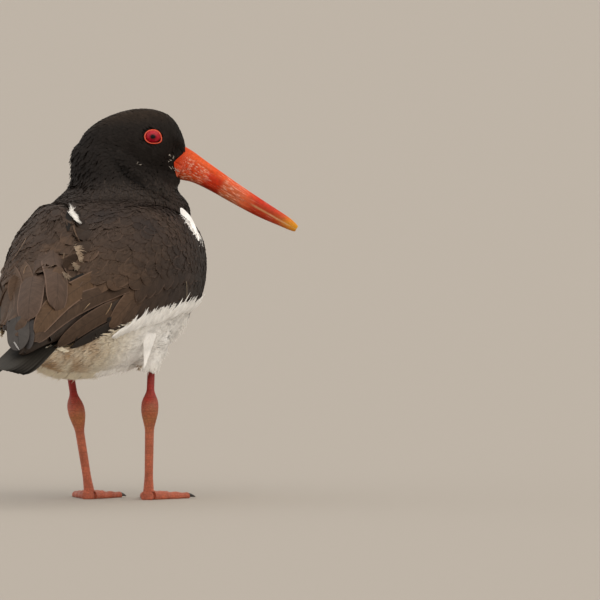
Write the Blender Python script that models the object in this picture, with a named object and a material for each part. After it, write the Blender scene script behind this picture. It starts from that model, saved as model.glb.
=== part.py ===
"""A life-size oystercatcher, standing, with its head turned over its right shoulder.

Every feathered solid ends at the outline of its plumage. X is forward, Y is the bird's
left and Z is up. Sizes are given in millimetres and turned into metres by MM.
"""

import math

import bmesh
import bpy
from mathutils import Vector

MM = 0.001
GAP = 0.3  # the thin cut between pieces that touch
WELD = 0.01

# The head, as a whole: where its eye level and middle plane lie, and how it is turned.
HEAD_PLACE = (36.5, -17.2, 207.5)
HEAD_TURN = math.radians(-74.5)
BILL_DROOP = math.radians(31)
BILL_ROOT = (14.0, 0.0, -15.5)
BILL_END = 0.6  # how much smaller a mandible's end faces are than the section there
EYE_RADIUS = 5.8
EYE_FROM_MIDDLE = 12.9

# The trunk's sections from breast to vent: x, height of the widest level, half width,
# rise to the back and drop to the belly.
TRUNK = (
    (79.0, 131.0, 0.0, 0.0, 0.0),
    (76.0, 131.5, 17.0, 17.0, 20.0),
    (66.0, 132.0, 32.0, 32.0, 37.0),
    (50.0, 132.0, 42.5, 41.0, 49.5),
    (28.0, 131.5, 48.0, 45.0, 56.5),
    (2.0, 130.0, 49.0, 43.5, 56.5),
    (-28.0, 126.0, 46.5, 38.0, 55.0),
    (-56.0, 119.0, 40.0, 31.5, 48.6),
    (-80.0, 111.5, 31.0, 24.0, 39.8),
    (-100.0, 104.5, 22.0, 18.0, 30.4),
    (-117.0, 97.5, 15.5, 13.0, 20.5),
    (-130.0, 91.5, 9.5, 8.5, 11.8),
    (-137.0, 88.0, 5.5, 4.0, 5.5),
    (-140.0, 86.5, 0.0, 0.0, 0.0),
)
TRUNK_ASIDE = 2.0  # the trunk leans this far to the left of the point between head and tail
BACK_ROUNDNESS = 2.35  # a superellipse's exponent: 2 is an ellipse, more is squarer
BELLY_ROUNDNESS = 2.15

# The neck's level sections: z, middle x and y, half length along the head, half width.
NECK = (
    (130.0, 30.0, 1.5, 0.0, 0.0),
    (136.0, 30.0, 1.5, 20.0, 20.0),
    (150.0, 31.0, 1.5, 37.0, 35.0),
    (161.0, 31.5, 1.5, 41.0, 37.0),
    (170.0, 32.0, 1.5, 38.5, 34.5),
    (179.0, 32.0, 2.0, 30.5, 28.0),
    (188.0, 31.0, 3.5, 27.0, 22.5),
    (197.0, 30.5, 4.7, 25.5, 18.5),
    (203.0, 30.0, 6.5, 20.0, 14.0),
    (207.5, 30.0, 7.0, 0.0, 0.0),
)

# The head's sections from nape to face, about the eye's level: x, height of the widest
# level, half width, rise to the crown and drop to the throat.
HEAD = (
    (-44.5, -9.0, 0.0, 0.0, 0.0),
    (-42.0, -8.5, 8.0, 8.0, 9.0),
    (-36.0, -7.8, 12.3, 13.0, 12.5),
    (-28.0, -7.2, 15.2, 17.4, 16.0),
    (-17.0, -7.0, 17.6, 21.2, 20.0),
    (-6.0, -7.0, 18.2, 22.8, 23.5),
    (4.0, -8.0, 17.3, 22.3, 24.0),
    (11.0, -10.0, 14.3, 20.4, 21.0),
    (16.0, -12.5, 10.0, 15.0, 14.0),
    (18.6, -14.5, 6.0, 8.0, 8.0),
    (19.4, -15.0, 0.0, 0.0, 0.0),
)

CROWN_ROUNDNESS = 2.1
THROAT_ROUNDNESS = 2.0

# The bill's sections along its own axis: distance from the root, half width, culmen's
# height, height of the gape line and depth of the lower edge.
BILL = (
    (-5.0, 5.6, 10.2, 0.0, 8.2),
    (4.0, 5.5, 10.3, 0.0, 8.2),
    (13.0, 4.6, 9.5, 0.2, 5.3),
    (24.0, 3.8, 8.6, 0.5, 4.1),
    (38.0, 3.3, 7.6, 1.0, 3.7),
    (55.0, 2.7, 6.8, 1.6, 2.8),
    (70.0, 2.0, 5.9, 2.0, 1.0),
    (76.0, 1.5, 4.6, 2.3, -0.6),
    (78.5, 0.9, 3.4, 2.4, -1.5),
)
BILL_ROUNDNESS = 2.2

# The folded wing lies on the trunk. Angles are from the middle of the back, in degrees.
WING_FRONT = 65.0
WING_REAR = -92.0
WING_FRONT_CURVE = 13.0  # how far the bend of the wing rounds off at its ends
WING_TOP_ANGLES = ((-92.0, 4.0), (-60.0, 4.0), (-25.0, 9.0), (0.0, 32.0), (30.0, 58.0), (65.0, 74.0))
WING_EDGE_ANGLES = ((-92.0, 107.0), (-80.0, 108.0), (-55.0, 103.0), (0.0, 112.5), (65.0, 110.0))
WING_THICKNESS = 4.0
WING_EDGE = 1.0
WING_FRONT_THIN = 0.35  # the bend's thickness, as a share of the middle's
WING_FULL_AT = 0.22  # the share of the length by which the full thickness is reached
WING_SWELL = 0.6  # below 1, the section is full nearly out to its edges
WING_OFF_TRUNK = 0.8
LOOSE_FROM = -40.0  # the left wing hangs off the trunk behind this x
LOOSE_BY = 8.0  # and by this much at its rear
LOOSE_CURVE = 1.5  # above 1, it leaves the trunk gently

# The wing's free end, made by the longest tertials and the primaries: x, z of the ridge
# over the back, y and z of the left wing's lower edge and of the right wing's, and how
# far the wing bulges out and up between.
WING_POINT = (
    (-97.0, 134.5, 37.0, 100.0, -24.5, 97.5, 5.2),
    (-110.0, 127.5, 32.0, 98.5, -18.5, 96.0, 4.5),
    (-130.0, 115.5, 25.0, 97.5, -12.5, 93.5, 3.2),
    (-150.0, 103.5, 16.5, 97.0, -7.5, 93.0, 1.8),
    (-166.0, 94.5, 6.5, 92.5, -2.8, 91.0, 0.7),
    (-173.0, 91.0, 4.0, 90.5, -1.6, 89.7, 0.1),
)
RIDGE = (2.2, 1.4)  # y of the ridge and how far each wing stops short of it
POINT_THICKNESS = 2.0

TAIL_ROOT = (-112.0, 3.0, 101.0)
TAIL_TIP = (-191.0, 6.5, 80.0)
TAIL_ROOT_WIDTH = 20.0
TAIL_TIP_WIDTH = 27.0
TAIL_DROOP = 0.9  # how far the outer feathers lie below the middle ones
TAIL_THICKNESS = 2.2
TAIL_ROUND = 11.0  # how far the tail's corners stand short of its middle

# Each leg: thigh top, end of the feathers, heel joint and the foot's middle.
LEGS = {
    "left": ((-9.0, 17.0, 84.0), (-16.0, 18.5, 68.5), (-26.0, 10.7, 50.5), (-16.0, 6.0, 4.4)),
    "right": ((-9.0, -25.0, 84.0), (-16.0, -31.6, 71.5), (-26.0, -32.8, 52.5), (-16.0, -29.4, 4.4)),
}
# Half thickness across and along each leg, at shares of the way down.
THIGH = ((0.0, 15.0, 20.0), (0.35, 12.5, 17.0), (0.7, 8.0, 10.0), (1.0, 3.6, 4.0))
SHANK = (
    (0.0, 2.1, 2.1),
    (0.20, 2.2, 2.3),
    (0.30, 3.6, 3.4),
    (0.40, 4.8, 4.4),
    (0.50, 3.4, 3.3),
    (0.60, 2.5, 2.9),
    (0.88, 2.4, 2.8),
    (1.0, 3.2, 3.4),
)
SHIN_BENDS_AT = 0.55  # share of the way from the feathers' end to the heel
FOOT_BENDS_AT = (0.3, 0.65)  # and of the way from the heel to the foot
IN_TRUNK = 8.0  # how far the thigh runs on above its hip point
SHANK_IN_THIGH = 5.0
# Each toe: heading from straight ahead, in degrees, outwards, then length and half height.
TOES = {"middle": (3.0, 36.0, 2.9), "inner": (-22.0, 26.0, 2.6), "outer": (31.0, 28.5, 2.7)}
TOE_STARTS = {"middle": -3.5, "inner": 2.5, "outer": 2.5}  # from the foot's middle
TOE_END = 0.55  # how much smaller a toe's end faces are than the section there
TOE_ROOT = 1.12  # half width at the foot, as a share of the toe's half height
TOE_TAPER = 0.42  # and how much of that share is lost at the claw
TOE_HEIGHT = 0.72  # height of the toe's axis, as a share of its half height
TOE_SINKS = 0.25  # and how much of that share is lost at the claw
PADS = 3
PAD_SWELL = 0.1
CLAW_LENGTH = 6.5
CLAW_ROOT = 1.5
CLAW_TIP = 0.28
CLAW_HEIGHT = 1.9
CLAW_BEND = 1.2
CLAW_FLAT = 0.8  # a claw's height, as a share of its width

# Facets of each piece's grid: along it and round it.
TRUNK_FACETS = (24, 26)
NECK_FACETS = (16, 24)
HEAD_FACETS = (18, 24)
BILL_FACETS = (14, 10)
EYE_FACETS = (14, 9)
WING_FACETS = (14, 8)
POINT_FACETS = (12, 5)
TAIL_FACETS = (10, 6)
THIGH_FACETS = (8, 14)
SHANK_FACETS = (18, 10)
TOE_FACETS = (9, 10)
CLAW_FACETS = (5, 8)

COLOURS = {
    "black_plumage": (0.030, 0.025, 0.022),
    "brown_plumage": (0.075, 0.055, 0.042),
    "white_plumage": (0.78, 0.74, 0.66),
    "orange_bill": (0.80, 0.16, 0.05),
    "red_eye": (0.62, 0.02, 0.02),
    "pink_leg": (0.58, 0.13, 0.09),
    "dark_claw": (0.05, 0.04, 0.035),
}


def material(name):
    """The finish of one kind of surface."""
    found = bpy.data.materials.get(name)
    if found:
        return found
    made = bpy.data.materials.new(name)
    made.use_nodes = True
    shader = made.node_tree.nodes["Principled BSDF"]
    shader.inputs["Base Color"].default_value = (*COLOURS[name], 1.0)
    shader.inputs["Roughness"].default_value = 0.12 if name == "red_eye" else 0.6
    return made


def along(rows, place):
    """The row at place, from 0 to 1, on a smooth curve through all rows."""
    step = place * (len(rows) - 1)
    first = min(int(step), len(rows) - 2)
    share = step - first
    before, start, end, after = (rows[min(max(first + i, 0), len(rows) - 1)] for i in (-1, 0, 1, 2))
    return [
        0.5 * (2 * b + share * (c - a + share * (2 * a - 5 * b + 4 * c - d + share * (3 * (b - c) + d - a))))
        for a, b, c, d in zip(before, start, end, after)
    ]


def value_at(rows, x):
    """The value at x, eased from row to row of (x, value) rows that rise in x."""
    for (x0, value0), (x1, value1) in zip(rows, rows[1:]):
        if x <= x1:
            share = min(max((x - x0) / (x1 - x0), 0), 1)
            return value0 + share * share * (3 - 2 * share) * (value1 - value0)
    return rows[-1][1]


def superellipse(angle, roundness):
    """(across, up) of a unit section at an angle from the top."""
    across, up = math.sin(angle), math.cos(angle)
    power = 2 / roundness
    return math.copysign(abs(across) ** power, across), math.copysign(abs(up) ** power, up)


def add_object(name, shape, finish, parent=None):
    """Makes a bmesh into a named, smooth object."""
    mesh = bpy.data.meshes.new(name)
    shape.to_mesh(mesh)
    shape.free()
    mesh.shade_smooth()
    mesh.materials.append(material(finish))
    made = bpy.data.objects.new(name, mesh)
    bpy.context.scene.collection.objects.link(made)
    made.parent = parent
    return made


def warped(name, surface, facets, finish, parent, solid=True):
    """A grid of which each corner (u, v), from 0 to 1 both ways, is put at surface(u, v).

    A solid's surface closes round v, and its two ends come to a point or are filled.
    """
    shape = bmesh.new()
    bmesh.ops.create_grid(shape, x_segments=facets[0], y_segments=facets[1], size=0.5)
    for corner in shape.verts:
        corner.co = Vector(surface(corner.co.x + 0.5, corner.co.y + 0.5)) * MM
    if solid:
        bmesh.ops.remove_doubles(shape, verts=shape.verts, dist=WELD * MM)
        bmesh.ops.holes_fill(shape, edges=shape.edges, sides=0)
        bmesh.ops.recalc_face_normals(shape, faces=shape.faces)
    return add_object(name, shape, finish, parent)


def section_surface(rows, upper, lower, grow=0.0, aside=0.0):
    """A loft along X through (x, middle, half width, rise, drop) rows."""

    def surface(u, v):
        x, middle, width, rise, drop = along(rows, u)
        angle = 2 * math.pi * v
        over = math.cos(angle) >= 0
        across, up = superellipse(angle, upper if over else lower)
        fuller = grow if 0 < u < 1 else 0
        x += grow * math.copysign(1, rows[-1][0] - rows[0][0]) * (2 * u - 1)
        return x, aside + (width + fuller) * across, middle + ((rise if over else drop) + fuller) * up

    return surface


def level_surface(rows, turn):
    """A loft along Z through (z, x, y, half length, half width) rows, turned about Z."""

    def surface(u, v):
        z, x, y, length, width = along(rows, u)
        angle = 2 * math.pi * v
        ahead, aside = length * math.cos(angle), width * math.sin(angle)
        return (
            x + ahead * math.cos(turn) - aside * math.sin(turn),
            y + ahead * math.sin(turn) + aside * math.cos(turn),
            z,
        )

    return surface


def cut(piece, *cutters):
    """Takes each cutter's shape out of the piece."""
    for cutter in cutters:
        cutter.hide_render = True
        cutter.display_type = "WIRE"
        taken = piece.modifiers.new("cut by " + cutter.name, "BOOLEAN")
        taken.operation = "DIFFERENCE"
        taken.solver = "EXACT"
        taken.object = cutter


def thicken(piece, thickness, group=""):
    """Gives a sheet its thickness, half on each side, thinner where its vertex group says."""
    solid = piece.modifiers.new("thickness", "SOLIDIFY")
    solid.thickness = thickness * MM
    solid.offset = 0
    solid.vertex_group = group


def trunk_point(x, degrees, off):
    """A point off the trunk's side by a distance, at x and at an angle from the back."""
    low, high = 0.0, 1.0
    for _ in range(24):  # the sections run from breast to vent, so x falls as place rises
        place = (low + high) / 2
        if along(TRUNK, place)[0] > x:
            low = place
        else:
            high = place
    angle = math.radians(degrees)

    def at(angle, place):
        x, middle, width, rise, drop = along(TRUNK, place)
        over = math.cos(angle) >= 0
        across, up = superellipse(angle, BACK_ROUNDNESS if over else BELLY_ROUNDNESS)
        return Vector((x, TRUNK_ASIDE + width * across, middle + (rise if over else drop) * up))

    here = at(angle, place)
    round_it = at(angle + 0.02, place) - at(angle - 0.02, place)
    down_it = at(angle, min(place + 0.01, 1)) - at(angle, max(place - 0.01, 0))
    return here + round_it.cross(down_it).normalized() * off


def make_trunk(root):
    surface = section_surface(TRUNK, BACK_ROUNDNESS, BELLY_ROUNDNESS, 0, TRUNK_ASIDE)
    warped("trunk", surface, TRUNK_FACETS, "white_plumage", root)
    grown = section_surface(TRUNK, BACK_ROUNDNESS, BELLY_ROUNDNESS, GAP, TRUNK_ASIDE)
    return warped("trunk_room", grown, TRUNK_FACETS, "white_plumage", root)


def make_head(root):
    """The head and what sits in it, in the head's own frame, turned by an empty."""
    turned = bpy.data.objects.new("head_turn", None)
    bpy.context.scene.collection.objects.link(turned)
    turned.parent = root
    turned.location = Vector(HEAD_PLACE) * MM
    turned.rotation_euler.z = HEAD_TURN

    surface = section_surface(HEAD, CROWN_ROUNDNESS, THROAT_ROUNDNESS)
    head = warped("head", surface, HEAD_FACETS, "black_plumage", turned)
    grown = section_surface(HEAD, CROWN_ROUNDNESS, THROAT_ROUNDNESS, GAP)
    room = warped("head_room", grown, HEAD_FACETS, "black_plumage", turned)

    bill_axis = bpy.data.objects.new("bill_axis", None)
    bpy.context.scene.collection.objects.link(bill_axis)
    bill_axis.parent = turned
    bill_axis.location = Vector(BILL_ROOT) * MM
    bill_axis.rotation_euler.y = BILL_DROOP
    for half in ("upper", "lower"):
        warped("bill_" + half, bill_surface(half), BILL_FACETS, "orange_bill", bill_axis)
        socket = bill_surface(half, GAP)
        cut(head, warped("bill_socket_" + half, socket, BILL_FACETS, "orange_bill", bill_axis))

    for side, sign in (("left", 1), ("right", -1)):
        for name, radius in (("eye_" + side, EYE_RADIUS), ("eye_room_" + side, EYE_RADIUS + GAP)):
            ball = bmesh.new()
            around, upright = EYE_FACETS
            bmesh.ops.create_uvsphere(ball, u_segments=around, v_segments=upright, radius=radius * MM)
            eye = add_object(name, ball, "red_eye", turned)
            eye.location = (0, sign * EYE_FROM_MIDDLE * MM, 0)
            eye.rotation_euler.x = math.radians(90)
            if "room" in name:
                cut(head, eye)
    return room


def bill_surface(half, grow=0.0):
    """One mandible along the bill's axis, or the socket that it takes in the head."""

    def surface(u, v):
        x, width, culmen, gape, keel = along(BILL, u)
        across, up = superellipse(2 * math.pi * v, BILL_ROUNDNESS)
        slit = GAP / 2
        top, floor = (culmen, gape + slit) if half == "upper" else (gape - slit, -keel)
        middle, reach = (top + floor) / 2, (top - floor) / 2
        if grow:
            x -= grow if u == 0 else 0
        elif u in (0, 1):
            width, reach = width * BILL_END, reach * BILL_END
        return x, (width + grow) * across, middle + (reach + grow) * up

    return surface


def make_neck(root, *rooms):
    neck = warped("neck", level_surface(NECK, HEAD_TURN), NECK_FACETS, "black_plumage", root)
    cut(neck, *rooms)


def wing_sheet(side):
    """The middle of the folded wing, from its bend to the rump and from back to edge."""

    def surface(u, v):
        x = WING_FRONT + (WING_REAR - WING_FRONT) * u
        x -= WING_FRONT_CURVE * (2 * v - 1) ** 2 * (1 - u) ** 3
        top, edge = value_at(WING_TOP_ANGLES, x), value_at(WING_EDGE_ANGLES, x)
        degrees = top + (edge - top) * v
        off = WING_OFF_TRUNK + wing_thickness(u, v) / 2
        if side == "left" and x < LOOSE_FROM:
            loose = (x - LOOSE_FROM) / (WING_REAR - LOOSE_FROM)
            off += LOOSE_BY * loose**LOOSE_CURVE * math.sin(math.pi / 2 * v)
        x, y, z = trunk_point(x, degrees, off)
        return x, y if side == "left" else 2 * TRUNK_ASIDE - y, z

    return surface


def wing_thickness(u, v):
    """Thick in the middle and thin round the edges."""
    forward = min(1, WING_FRONT_THIN + (1 - WING_FRONT_THIN) * u / WING_FULL_AT)
    swell = abs(math.sin(math.pi * v)) ** WING_SWELL * forward
    return WING_EDGE + (WING_THICKNESS - WING_EDGE) * swell


def make_wings(root, trunk_room):
    """Each wing's body on the trunk, and its free point behind."""
    rows, columns = WING_FACETS
    for side in ("left", "right"):
        wing = warped("wing_" + side, wing_sheet(side), WING_FACETS, "brown_plumage", root, False)
        group = wing.vertex_groups.new(name="thick")
        for i in range((rows + 1) * (columns + 1)):
            v, u = divmod(i, rows + 1)
            group.add([i], wing_thickness(u / rows, v / columns) / WING_THICKNESS, "REPLACE")
        thicken(wing, WING_THICKNESS, "thick")
        point = warped("wing_point_" + side, point_sheet(side), POINT_FACETS, "brown_plumage", root, False)
        thicken(point, POINT_THICKNESS)
        cut(point, trunk_room)


def point_sheet(side):
    """The free end of a folded wing, from the ridge down to its lower edge."""
    sign = 1 if side == "left" else -1

    def surface(u, v):
        x, top, left_y, left_z, right_y, right_z, bulge = along(WING_POINT, u)
        low_y, low_z = (left_y, left_z) if side == "left" else (right_y, right_z)
        top_y = RIDGE[0] + sign * RIDGE[1]
        out = bulge * math.sin(math.pi * v)
        y, z = top_y + (low_y - top_y) * v, top + (low_z - top) * v
        return x, y + sign * out, z + out

    return surface


def make_tail(root, trunk_room):
    def surface(u, v):
        across = 2 * v - 1
        x, y, z = (a + (b - a) * u for a, b in zip(TAIL_ROOT, TAIL_TIP))
        width = TAIL_ROOT_WIDTH + (TAIL_TIP_WIDTH - TAIL_ROOT_WIDTH) * u
        return (
            x + TAIL_ROUND * u * across**2,
            y + across * width / 2,
            z - TAIL_DROOP * across**2 * (0.5 + 0.5 * u),
        )

    tail = warped("tail", surface, TAIL_FACETS, "black_plumage", root, False)
    thicken(tail, TAIL_THICKNESS)
    cut(tail, trunk_room)


def leg_tube(path, radii, grow=0.0):
    """A round tube along a bent path, with (share, across, along) half thicknesses."""

    def surface(u, v):
        x, y, z = along(path, u)
        across = value_at([(share, half) for share, half, _ in radii], u) + grow
        ahead = value_at([(share, half) for share, _, half in radii], u) + grow
        angle = 2 * math.pi * v
        return x + ahead * math.cos(angle), y + across * math.sin(angle), z

    return surface


def make_leg(side, root, trunk_room):
    hip, hem, heel, foot = (Vector(p) for p in LEGS[side])
    thigh_path = [hip + Vector((0, 0, IN_TRUNK)), hip, (hip + hem) / 2, hem]
    thigh = warped("thigh_" + side, leg_tube(thigh_path, THIGH), THIGH_FACETS, "white_plumage", root)
    cut(thigh, trunk_room)

    top = hem + (hip - hem).normalized() * SHANK_IN_THIGH
    below = [heel.lerp(foot, share) for share in FOOT_BENDS_AT]
    shank_path = [top, top.lerp(heel, SHIN_BENDS_AT), heel, *below, foot]
    shank = warped("shank_" + side, leg_tube(shank_path, SHANK), SHANK_FACETS, "pink_leg", root)
    grown = leg_tube([top + Vector((0, 0, GAP)), *shank_path[1:]], SHANK, GAP)
    cut(thigh, warped("shank_room_" + side, grown, SHANK_FACETS, "pink_leg", root))

    middle_room = None
    for toe, (heading, length, half) in TOES.items():
        name = toe + "_toe_" + side
        turn = math.radians(heading if side == "left" else -heading)
        ahead = Vector((math.cos(turn), math.sin(turn), 0))
        start = Vector((foot.x, foot.y, 0)) + ahead * TOE_STARTS[toe]
        made = warped(name, toe_surface(start, ahead, length, half), TOE_FACETS, "pink_leg", root)
        claw = claw_surface(start + ahead * (length + GAP), ahead)
        warped("claw_" + name, claw, CLAW_FACETS, "dark_claw", root)
        grown = toe_surface(start, ahead, length, half, GAP)
        room = warped(name + "_room", grown, TOE_FACETS, "pink_leg", root)
        cut(shank, room)
        if middle_room:
            cut(made, middle_room)
        else:
            middle_room = room


def toe_surface(start, ahead, length, half, grow=0.0):
    """A toe with its pads, flat on the floor."""
    aside = Vector((-ahead.y, ahead.x, 0))

    def surface(u, v):
        angle = 2 * math.pi * v
        swell = 1 + PAD_SWELL * math.cos(2 * math.pi * PADS * u)
        end = TOE_END if u in (0, 1) else 1
        reach = half * (TOE_ROOT - TOE_TAPER * u) * swell * end + grow
        height = half * (TOE_HEIGHT - TOE_SINKS * u)
        up = max(math.cos(angle) * reach, -height - grow)
        forward = length * u + grow * math.copysign(1, u - 0.5) * (u in (0, 1))
        return start + ahead * forward + aside * (math.sin(angle) * reach) + Vector((0, 0, height + up))

    return surface


def claw_surface(start, ahead):
    """A short claw that bends down towards the floor."""
    aside = Vector((-ahead.y, ahead.x, 0))

    def surface(u, v):
        angle = 2 * math.pi * v
        thick = CLAW_TIP + CLAW_ROOT * (1 - u) ** 0.7
        height = CLAW_HEIGHT - CLAW_BEND * u * u
        up = math.cos(angle) * thick * CLAW_FLAT
        spot = start + ahead * (CLAW_LENGTH * u) + aside * (math.sin(angle) * thick)
        return spot + Vector((0, 0, height + up))

    return surface


def centre_on_floor(root):
    """Moves the whole bird so that the middle of its box's floor is the origin."""
    bpy.context.view_layer.update()
    graph = bpy.context.evaluated_depsgraph_get()
    low, high = Vector((9, 9, 9)), Vector((-9, -9, -9))
    for piece in bpy.context.scene.objects:
        if piece.type != "MESH" or piece.hide_render:
            continue
        evaluated = piece.evaluated_get(graph)
        for corner in evaluated.to_mesh().vertices:
            spot = evaluated.matrix_world @ corner.co
            low, high = Vector(map(min, low, spot)), Vector(map(max, high, spot))
        evaluated.to_mesh_clear()
    root.location = (-(low.x + high.x) / 2, -(low.y + high.y) / 2, -low.z)


def main():
    for old in list(bpy.data.objects):
        bpy.data.objects.remove(old)
    root = bpy.data.objects.new("oystercatcher", None)
    bpy.context.scene.collection.objects.link(root)
    trunk_room = make_trunk(root)
    head_room = make_head(root)
    make_neck(root, trunk_room, head_room)
    make_wings(root, trunk_room)
    make_tail(root, trunk_room)
    for side in LEGS:
        make_leg(side, root, trunk_room)
    centre_on_floor(root)


main()
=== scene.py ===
# %% [markdown]
# # Oystercatcher: a still, life-size model
# The CAD gives the bird's outline in plain solids. This script dresses it in one skin, a
# coat of mesh feathers, and finer eyes, bill, legs, toes and claws. It works in
# millimetres in the bird's own axes, X forward, Y to its left and Z up, and turns them
# into metres in the CAD's frame when a mesh is made.

import math
from functools import partial
from math import cos, pi, radians, sin, tau

import bmesh
import bpy
import numpy as np
from mathutils import Matrix, Vector
from mathutils.bvhtree import BVHTree
from numpy.random import default_rng


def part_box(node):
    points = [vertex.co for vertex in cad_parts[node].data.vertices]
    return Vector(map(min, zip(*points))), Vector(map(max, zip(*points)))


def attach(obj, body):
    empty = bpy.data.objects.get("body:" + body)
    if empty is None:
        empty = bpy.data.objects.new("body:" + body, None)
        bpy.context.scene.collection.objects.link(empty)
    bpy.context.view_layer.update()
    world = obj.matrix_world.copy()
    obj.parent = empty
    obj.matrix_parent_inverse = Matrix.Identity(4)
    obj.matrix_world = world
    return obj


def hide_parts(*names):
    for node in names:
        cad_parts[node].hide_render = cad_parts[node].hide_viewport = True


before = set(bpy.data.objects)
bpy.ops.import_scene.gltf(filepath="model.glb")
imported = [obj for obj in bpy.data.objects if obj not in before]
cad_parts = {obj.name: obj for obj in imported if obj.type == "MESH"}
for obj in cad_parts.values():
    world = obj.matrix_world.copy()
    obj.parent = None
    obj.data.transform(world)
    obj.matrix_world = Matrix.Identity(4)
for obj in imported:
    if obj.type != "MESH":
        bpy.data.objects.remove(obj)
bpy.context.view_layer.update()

MM = 0.001
TRUNK_FRONT = 79.0  # x of the breast's foremost point
TRUNK_ASIDE = 2.0  # the trunk's middle plane
low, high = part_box("trunk")
ORIGIN = np.array((high.x / MM - TRUNK_FRONT, (low.y + high.y) / (2 * MM) - TRUNK_ASIDE, 0.0))


def to_row(points):
    """The CAD frame's metres for millimetres in the bird's axes."""
    return (np.asarray(points, float) + ORIGIN) * MM


def unit(vectors):
    """The vectors at length 1."""
    vectors = np.asarray(vectors, float)
    return vectors / np.maximum(np.linalg.norm(vectors, axis=-1, keepdims=True), 1e-9)


norm = partial(np.linalg.norm, axis=-1)


def xyz(points):
    """The points' coordinates, one array for each axis."""
    return np.moveaxis(points, -1, 0)


def mix(a, b, share):
    """From a to b, with one share for each row."""
    share = np.asarray(share, float)[..., None]
    return np.asarray(a) * (1 - share) + np.asarray(b) * share


def eased(values, start, end):
    """0 before start, 1 after end, and smooth in between."""
    share = np.clip((np.asarray(values, float) - start) / (end - start), 0, 1)
    return share * share * (3 - 2 * share)


# %% [markdown]
# The photograph was taken through a long lens, which hardly makes near things bigger, so
# the camera stands far off. Its place follows from the bird's heading, the size of a pixel
# at the bird, and the pixel where the bird's origin falls.

# %% The camera
HEADING = radians(74.5)  # from the line of sight to the bird's right
ABOVE = radians(2.0)
PIXEL = 0.575  # mm at the bird
PICTURE = 600  # pixels
ORIGIN_PIXEL = (107.0, 498.0)
FAR = 12000.0  # mm
SENSOR = 36.0  # mm
CLIP = (1.0, 200.0)  # m

RIGHT = np.array((cos(HEADING), -sin(HEADING), 0.0))
LOOK = np.array(
    (sin(HEADING) * cos(ABOVE), cos(HEADING) * cos(ABOVE), -sin(ABOVE))
)
UP = np.cross(RIGHT, LOOK)


def in_view_plane(x, y):
    """The point through the bird's origin plane that pixel (x, y) shows."""
    return RIGHT * (x - ORIGIN_PIXEL[0]) * PIXEL + UP * (ORIGIN_PIXEL[1] - y) * PIXEL


def add_camera():
    """The long lens that shows the bird as the photograph does."""
    data = bpy.data.cameras.new("camera")
    data.sensor_width = SENSOR
    data.lens = SENSOR * FAR / (PICTURE * PIXEL)
    data.clip_start, data.clip_end = CLIP
    camera = bpy.data.objects.new("camera", data)
    turn = Matrix((RIGHT, UP, -LOOK)).transposed().to_4x4()
    place = to_row(in_view_plane(PICTURE / 2, PICTURE / 2) - LOOK * FAR)
    camera.matrix_world = Matrix.Translation(Vector(place)) @ turn
    bpy.context.scene.collection.objects.link(camera)
    bpy.context.scene.camera = camera
    print("camera at", place.round(2), "lens", round(data.lens))


add_camera()

# %% [markdown]
# Colours are sRGB hex values read off the photograph. A shader adds up light, so they are
# turned to linear values.

# %% Colours

def linear(colour):
    """A linear colour for an sRGB hex value such as c08040."""
    values = [int(colour[i : i + 2], 16) / 255 for i in (0, 2, 4)]
    return [v / 12.92 if v <= 0.04045 else ((v + 0.055) / 1.055) ** 2.4 for v in values]


def rgba(colour):
    return (*linear(colour), 1.0)


print("sRGB 808080 is linear", round(linear("808080")[0], 3))

# %% [markdown]
# Every finish is a tree of nodes on one Principled shader, and one function adds any node.
# Settings that several finishes share have names: how Math and Map Range work, and whether
# Mix lays one colour over another or darkens it.

# %% Nodes and materials
TIMES = {"operation": "MULTIPLY"}
TIMES_PLUS = {"operation": "MULTIPLY_ADD"}
SOFTLY = {"interpolation_type": "SMOOTHSTEP"}
LAID_OVER = {"out": 2, "data_type": "RGBA"}
DARKENED = {**LAID_OVER, "blend_type": "MULTIPLY"}


def node(material, kind, inputs=(), out=0, **settings):
    """Adds a shader node, sets it up, joins or fills its inputs and gives one output."""
    made = material.node_tree.nodes.new("ShaderNode" + kind)
    for name, value in settings.items():
        setattr(made, name, value)
    inputs = inputs.items() if isinstance(inputs, dict) else enumerate(inputs)
    for name, value in inputs:
        socket = made.inputs[name]
        if isinstance(value, bpy.types.NodeSocket):
            material.node_tree.links.new(value, socket)
        else:
            socket.default_value = value
    return made.outputs[out]


def new_material(name, **sockets):
    """(a Principled material with constants on its shader's sockets, what adds its nodes)."""
    material = bpy.data.materials.new(name)
    material.use_nodes = True
    shader = material.node_tree.nodes["Principled BSDF"]
    for socket, value in sockets.items():
        shader.inputs[socket.replace("_", " ")].default_value = value
    return material, partial(node, material)


def dressed(material, colour, relief=None, strength=0.0, depth=0.0, **others):
    """The material with its colour, any relief of a depth in mm, and other sockets joined."""
    outputs = {"Base Color": colour, **others}
    if relief is not None:
        bump = {"Strength": strength, "Distance": depth * MM, "Height": relief}
        outputs["Normal"] = node(material, "Bump", bump)
    shader = material.node_tree.nodes["Principled BSDF"]
    for socket, output in outputs.items():
        material.node_tree.links.new(output, shader.inputs[socket])
    return material


def set_stops(ramp, stops):
    """Gives the colour ramp behind an output its places and colours."""
    elements = ramp.node.color_ramp.elements
    while len(elements) < len(stops):
        elements.new(1.0)
    for element, (place, colour) in zip(elements, stops):
        element.position, element.color = place, rgba(colour)

# %% [markdown]
# A plain pale floor runs far back and fills the picture behind the bird. The light is a
# studio's soft box: two very wide suns and an even pale surrounding.

# %% Floor and light
FLOOR_HALF = 60.0  # m
FLOOR_COLOUR = "a9a299"
SURROUND = "f4efe8"
SURROUND_STRENGTH = 0.86
# Each sun: the side it shines from, how wide it is in degrees, its strength and colour.
SUNS = {
    "key": ((-0.55, -0.5, 1.0), 75.0, 1.35, "fff6ea"),
    "fill": ((-0.4, 0.9, 0.75), 90.0, 0.5, "f2f4ff"),
}


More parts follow.
